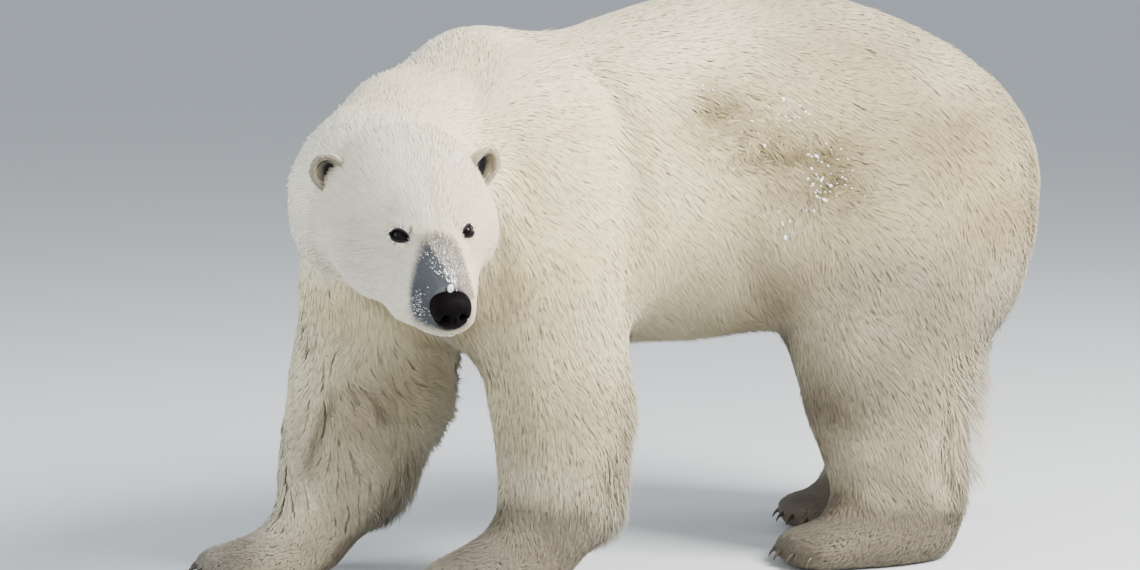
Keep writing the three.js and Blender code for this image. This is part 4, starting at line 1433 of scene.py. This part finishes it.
# %% [markdown]
# ## The colour of the coat
# Skin and tufts share one group of nodes that turns the markings into a colour. It starts from cream,
# mixes in each marking by its value, lightens and darkens each tuft by its own tone, and makes the
# roots a little darker than the tips, a painted shade for the depth of the coat. A noise that changes
# only across a tuft draws its single hairs. A little light passes into the surface and comes out
# nearby, which softens the gaps, because real hairs are clear.


# %% Shared colour group
def node(tree, kind, **settings):
    made = tree.nodes.new(kind)
    for key, value in settings.items():
        setattr(made, key, value)
    return made


def mix(tree, share, first, second, blend="MIX"):
    """A colour mix; each input is a socket or a plain value."""
    made = node(tree, "ShaderNodeMix", data_type="RGBA", blend_type=blend)
    for socket, value in ((made.inputs[0], share), (made.inputs[6], first), (made.inputs[7], second)):
        if isinstance(value, bpy.types.NodeSocket):
            tree.links.new(value, socket)
        else:
            socket.default_value = value if isinstance(value, (int, float)) else (*value, 1)
    return made.outputs[2]


def maths(tree, operation, first, second=0.0, third=0.0):
    made = node(tree, "ShaderNodeMath", operation=operation)
    for socket, value in zip(made.inputs, (first, second, third)):
        if isinstance(value, bpy.types.NodeSocket):
            tree.links.new(value, socket)
        else:
            socket.default_value = value
    return made.outputs[0]


def noise(tree, scale, detail=2.0, rough=0.5, stretch=None):
    """A noise on the Object coordinates."""
    place = node(tree, "ShaderNodeTexCoord").outputs["Object"]
    if stretch:
        mapping = node(tree, "ShaderNodeMapping")
        mapping.inputs["Scale"].default_value = stretch
        tree.links.new(place, mapping.inputs["Vector"])
        place = mapping.outputs["Vector"]
    made = node(tree, "ShaderNodeTexNoise")
    made.inputs["Scale"].default_value = scale
    made.inputs["Detail"].default_value = detail
    made.inputs["Roughness"].default_value = rough
    tree.links.new(place, made.inputs["Vector"])
    return made.outputs["Fac"]


CREAM = (0.88, 0.74, 0.44)
WHITE = (0.955, 0.885, 0.715)
STRAW = (0.80, 0.62, 0.32)
DRAB = (0.175, 0.165, 0.170)
DAMP = (0.30, 0.29, 0.22)
SLATE = (0.004, 0.018, 0.043)
INK = (0.008, 0.008, 0.011)
FROST = (0.05, 0.047, 0.060)
MARKS = ("warm", "grey_and_shade", "pale", "dark", "damp", "frost", "ink", "tone", "tip", "across")


def coat_colour_group():
    group = bpy.data.node_groups.new("coat colour", "ShaderNodeTree")
    for mark in MARKS:
        group.interface.new_socket(mark, in_out="INPUT", socket_type="NodeSocketFloat")
    group.interface.new_socket("Color", in_out="OUTPUT", socket_type="NodeSocketColor")
    given = node(group, "NodeGroupInput").outputs
    cloud = noise(group, 9.0, 3.0)
    stained = maths(group, "MULTIPLY_ADD", maths(group, "SUBTRACT", cloud, 0.5), 0.5, given["warm"])
    colour = mix(group, maths(group, "MULTIPLY", stained, 0.85), CREAM, STRAW)
    colour = mix(group, maths(group, "MULTIPLY", given["pale"], 0.80), colour, WHITE)
    # The grey mark, which carries painted shade as well, multiplies in the drab.
    colour = mix(group, given["grey_and_shade"], colour, DRAB, "MULTIPLY")
    colour = mix(group, given["damp"], colour, DAMP, "MULTIPLY")
    bright = maths(group, "MULTIPLY_ADD", given["tone"], 0.055, 0.98)
    # Painted shade: the lower part of each tuft, deeper in the coat, is darker than its tip.
    bright = maths(group, "MULTIPLY", bright, maths(group, "MULTIPLY_ADD", given["tip"], 0.14, 0.88))
    strands = node(group, "ShaderNodeTexNoise", noise_dimensions="1D")
    strands.inputs["Scale"].default_value = 1.7
    across = maths(group, "MULTIPLY_ADD", given["tone"], 53.0, given["across"])
    group.links.new(across, strands.inputs["W"])
    streaks = maths(group, "MULTIPLY_ADD", strands.outputs["Fac"], 0.34, 0.85)
    bright = maths(group, "MULTIPLY", bright, streaks)
    bright_colour = node(group, "ShaderNodeCombineColor")
    for socket in bright_colour.inputs[:3]:
        group.links.new(bright, socket)
    colour = mix(group, 1.0, colour, bright_colour.outputs[0], "MULTIPLY")
    colour = mix(group, maths(group, "POWER", given["dark"], 1.2), colour, SLATE)
    colour = mix(group, maths(group, "MULTIPLY", given["frost"], 0.85), colour, FROST)
    colour = mix(group, given["ink"], colour, INK)
    done = node(group, "NodeGroupOutput")
    group.links.new(colour, done.inputs["Color"])
    return group


coat_colour = coat_colour_group()


def fresh(name, roughness):
    material = bpy.data.materials.new(name)
    material.use_nodes = True
    tree = material.node_tree
    shader = tree.nodes["Principled BSDF"]
    shader.inputs["Roughness"].default_value = roughness
    return material, tree, shader


def press(tree, shader, height, depth, strength=1.0, invert=False):
    """A bump of the given depth in metres, from a height that runs from 0 to 1."""
    bump = node(tree, "ShaderNodeBump", invert=invert)
    bump.inputs["Distance"].default_value = depth
    bump.inputs["Strength"].default_value = strength
    tree.links.new(height, bump.inputs["Height"])
    tree.links.new(bump.outputs["Normal"], shader.inputs["Normal"])


def value_of(tree, name):
    return node(tree, "ShaderNodeAttribute", attribute_name=name).outputs["Fac"]


def coat_material(name, roughness, sheen, bump_scale=0.0, bump_depth=0.0):
    """Hair or hairy skin: the shared colour, a dull surface, and a soft sheen."""
    material, tree, shader = fresh(name, roughness)
    group = node(tree, "ShaderNodeGroup", node_tree=coat_colour)
    for mark in MARKS:
        tree.links.new(value_of(tree, mark), group.inputs[mark])
    tree.links.new(group.outputs["Color"], shader.inputs["Base Color"])
    shader.inputs["Sheen Weight"].default_value = sheen
    shader.inputs["Sheen Roughness"].default_value = 0.5
    shader.inputs["Specular IOR Level"].default_value = 0.16
    shader.inputs["Subsurface Weight"].default_value = 0.35
    shader.inputs["Subsurface Scale"].default_value = 0.006
    shader.inputs["Subsurface Radius"].default_value = (1.0, 0.85, 0.65)
    if bump_depth:
        press(tree, shader, noise(tree, bump_scale, 3.0), bump_depth, 0.8)
    return material


# %% [markdown]
# ## Finishes of the bare parts
# The nose is black leather with a pebbled grain: a Voronoi bump gives the grain, and the
# nostrils are rougher, so that they stay dark. An eye is nearly black and smooth, with a
# colour ramp from the pupil to the brown iris. Claws are dark horn streaked along their
# length by a stretched noise, and frost is a rough white that takes the light softly.


# %% Nose, eyes, claws and frost
def nose_finish():
    material, tree, shader = fresh("wet nose", 0.55)
    shader.inputs["Specular IOR Level"].default_value = 0.04
    pit = value_of(tree, "pit")
    black = mix(tree, noise(tree, 60, 3.0), (0.0010, 0.0007, 0.0010), (0.004, 0.0022, 0.003))
    tree.links.new(black, shader.inputs["Base Color"])
    place = node(tree, "ShaderNodeTexCoord").outputs["Object"]
    pebble = node(tree, "ShaderNodeTexVoronoi", feature="SMOOTH_F1")
    pebble.inputs["Scale"].default_value = 420
    tree.links.new(place, pebble.inputs["Vector"])
    press(tree, shader, pebble.outputs["Distance"], 0.0009, 0.7, invert=True)
    rough = maths(tree, "MULTIPLY_ADD", noise(tree, 90, 2.0), 0.3, 0.42)
    tree.links.new(maths(tree, "MULTIPLY_ADD", pit, 0.3, rough), shader.inputs["Roughness"])
    return material


def eye_finish():
    material, tree, shader = fresh("dark eye", 0.14)
    shader.inputs["Coat Weight"].default_value = 0.04
    shader.inputs["Coat Roughness"].default_value = 0.05
    shader.inputs["Specular IOR Level"].default_value = 0.07
    pupil = value_of(tree, "pupil")
    iris = node(tree, "ShaderNodeValToRGB")
    first, second = iris.color_ramp.elements
    first.position, first.color = 0.22, (0.002, 0.002, 0.003, 1)
    second.position, second.color = 0.30, (0.007, 0.0035, 0.003, 1)
    for spot, colour in ((0.52, (0.005, 0.003, 0.003, 1)), (0.60, (0.003, 0.0025, 0.003, 1))):
        iris.color_ramp.elements.new(spot).color = colour
    tree.links.new(pupil, iris.inputs["Fac"])
    tree.links.new(iris.outputs["Color"], shader.inputs["Base Color"])
    return material


def claw_finish():
    material, tree, shader = fresh("dark claw", 0.38)
    streak = noise(tree, 60, 3.0, 0.6, (4, 4, 0.6))
    horn = mix(tree, streak, (0.022, 0.016, 0.011), (0.10, 0.072, 0.048))
    tree.links.new(horn, shader.inputs["Base Color"])
    press(tree, shader, streak, 0.0005)
    return material


def frost_finish():
    material, tree, shader = fresh("frost", 0.3)
    white = mix(tree, noise(tree, 200, 2.0), (0.80, 0.83, 0.85), (0.95, 0.955, 0.96))
    tree.links.new(white, shader.inputs["Base Color"])
    return material


# %% [markdown]
# ## Camera
# A long lens a few metres off, at the height of the animal's back and looking a little
# down, keeps the head and the rump in their true sizes. A short lens close by would make
# the head too large.

# %% Camera
lens = bpy.data.cameras.new("camera")
lens.lens, lens.sensor_width, lens.clip_end = 88.3, 36.0, 900.0
camera = bpy.data.objects.new("camera", lens)
camera.location = (5.660, -3.037, 1.402)
camera.rotation_euler = (math.radians(83.6), 0, math.radians(64.0))
scene.collection.objects.link(camera)
scene.camera = camera
print("camera at", tuple(camera.location))

# %% [markdown]
# ## Floor and light
# A cream coat shows its hair only where light and shade cross it, so the main lamp stands high on the
# animal's left and a cooler one fills from its right. Large lamps and a bright, even world keep the
# shadows soft, like a day with a thin cloud. The floor is pale and plain.

# %% Floor and light
floor_shape = bmesh.new()
bmesh.ops.create_circle(floor_shape, cap_ends=True, segments=96, radius=400)
floor_mesh = bpy.data.meshes.new("floor")
floor_shape.to_mesh(floor_mesh)
floor = bpy.data.objects.new("floor", floor_mesh)
scene.collection.objects.link(floor)


pale_floor, _, floor_shader = fresh("pale floor", 0.6)
floor_shader.inputs["Base Color"].default_value = (0.66, 0.70, 0.74, 1)
floor_mesh.materials.append(pale_floor)
world = bpy.data.worlds.new("soft studio")
world.use_nodes = True
world.node_tree.nodes["Background"].inputs["Color"].default_value = (0.90, 0.95, 1.0, 1)
world.node_tree.nodes["Background"].inputs["Strength"].default_value = 0.62
scene.world = world


def lamp(name, spot, aim, size, power, colour):
    light = bpy.data.lights.new(name, "AREA")
    light.size, light.energy, light.color = size, power, colour
    holder = bpy.data.objects.new(name, light)
    holder.location = spot
    holder.rotation_euler = (Vector(aim) - Vector(spot)).to_track_quat("-Z", "Y").to_euler()
    scene.collection.objects.link(holder)
    return holder


lamp("key", (3.6, 2.4, 4.8), (0.1, -0.4, 0.8), 3.0, 1300, (1.0, 0.955, 0.89))
lamp("sky", (-1.5, -6.5, 3.2), (0, -0.7, 0.8), 3.0, 290, (0.84, 0.92, 1.0))
lamp("rim", (1.5, 6.5, 2.6), (0.0, 0.8, 0.5), 3.0, 200, (1.0, 0.96, 0.92))
lamp("fill", (4.5, -5.0, 3.0), (0, -0.3, 0.7), 4.0, 120, (0.98, 0.98, 1.0))

# %% [markdown]
# ## Dress the pieces
# Last, the skin becomes an object and takes the same marking values as the tufts, so where a gap opens
# in the coat the skin below has the hair's own colour. Every piece gets its finish, and the frame's
# flesh that the skin stands for is hidden.

# %% Materials on the pieces
skin = bpy.data.objects.new("skin", skin_mesh)
scene.collection.objects.link(skin)
skin_mesh.polygons.foreach_set("use_smooth", np.ones(len(skin_mesh.polygons), bool))
for mark, value in marks.items():
    put(skin_mesh, mark, value)
for mark, value in {"tone": 0.0, "tip": 1.0, "across": 0.0}.items():
    put(skin_mesh, mark, np.full(len(skin_points), value))
skin_mesh.materials.append(coat_material("hairy skin", 0.7, 0.05, 700, 0.0008))
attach(skin, "root")
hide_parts(*FLESH, *EARS)
hair_finish = coat_material("hair", 0.66, 0.08)
for name, piece in hair.items():
    piece.data.materials.append(hair_finish)
nose_piece.data.materials.append(nose_finish())
eye_dark = eye_finish()
for piece in eyeballs:
    piece.data.materials.append(eye_dark)
beads.data.materials.append(frost_finish())
claw_dark = claw_finish()
for piece in claw_pieces:
    piece.data.materials.append(claw_dark)
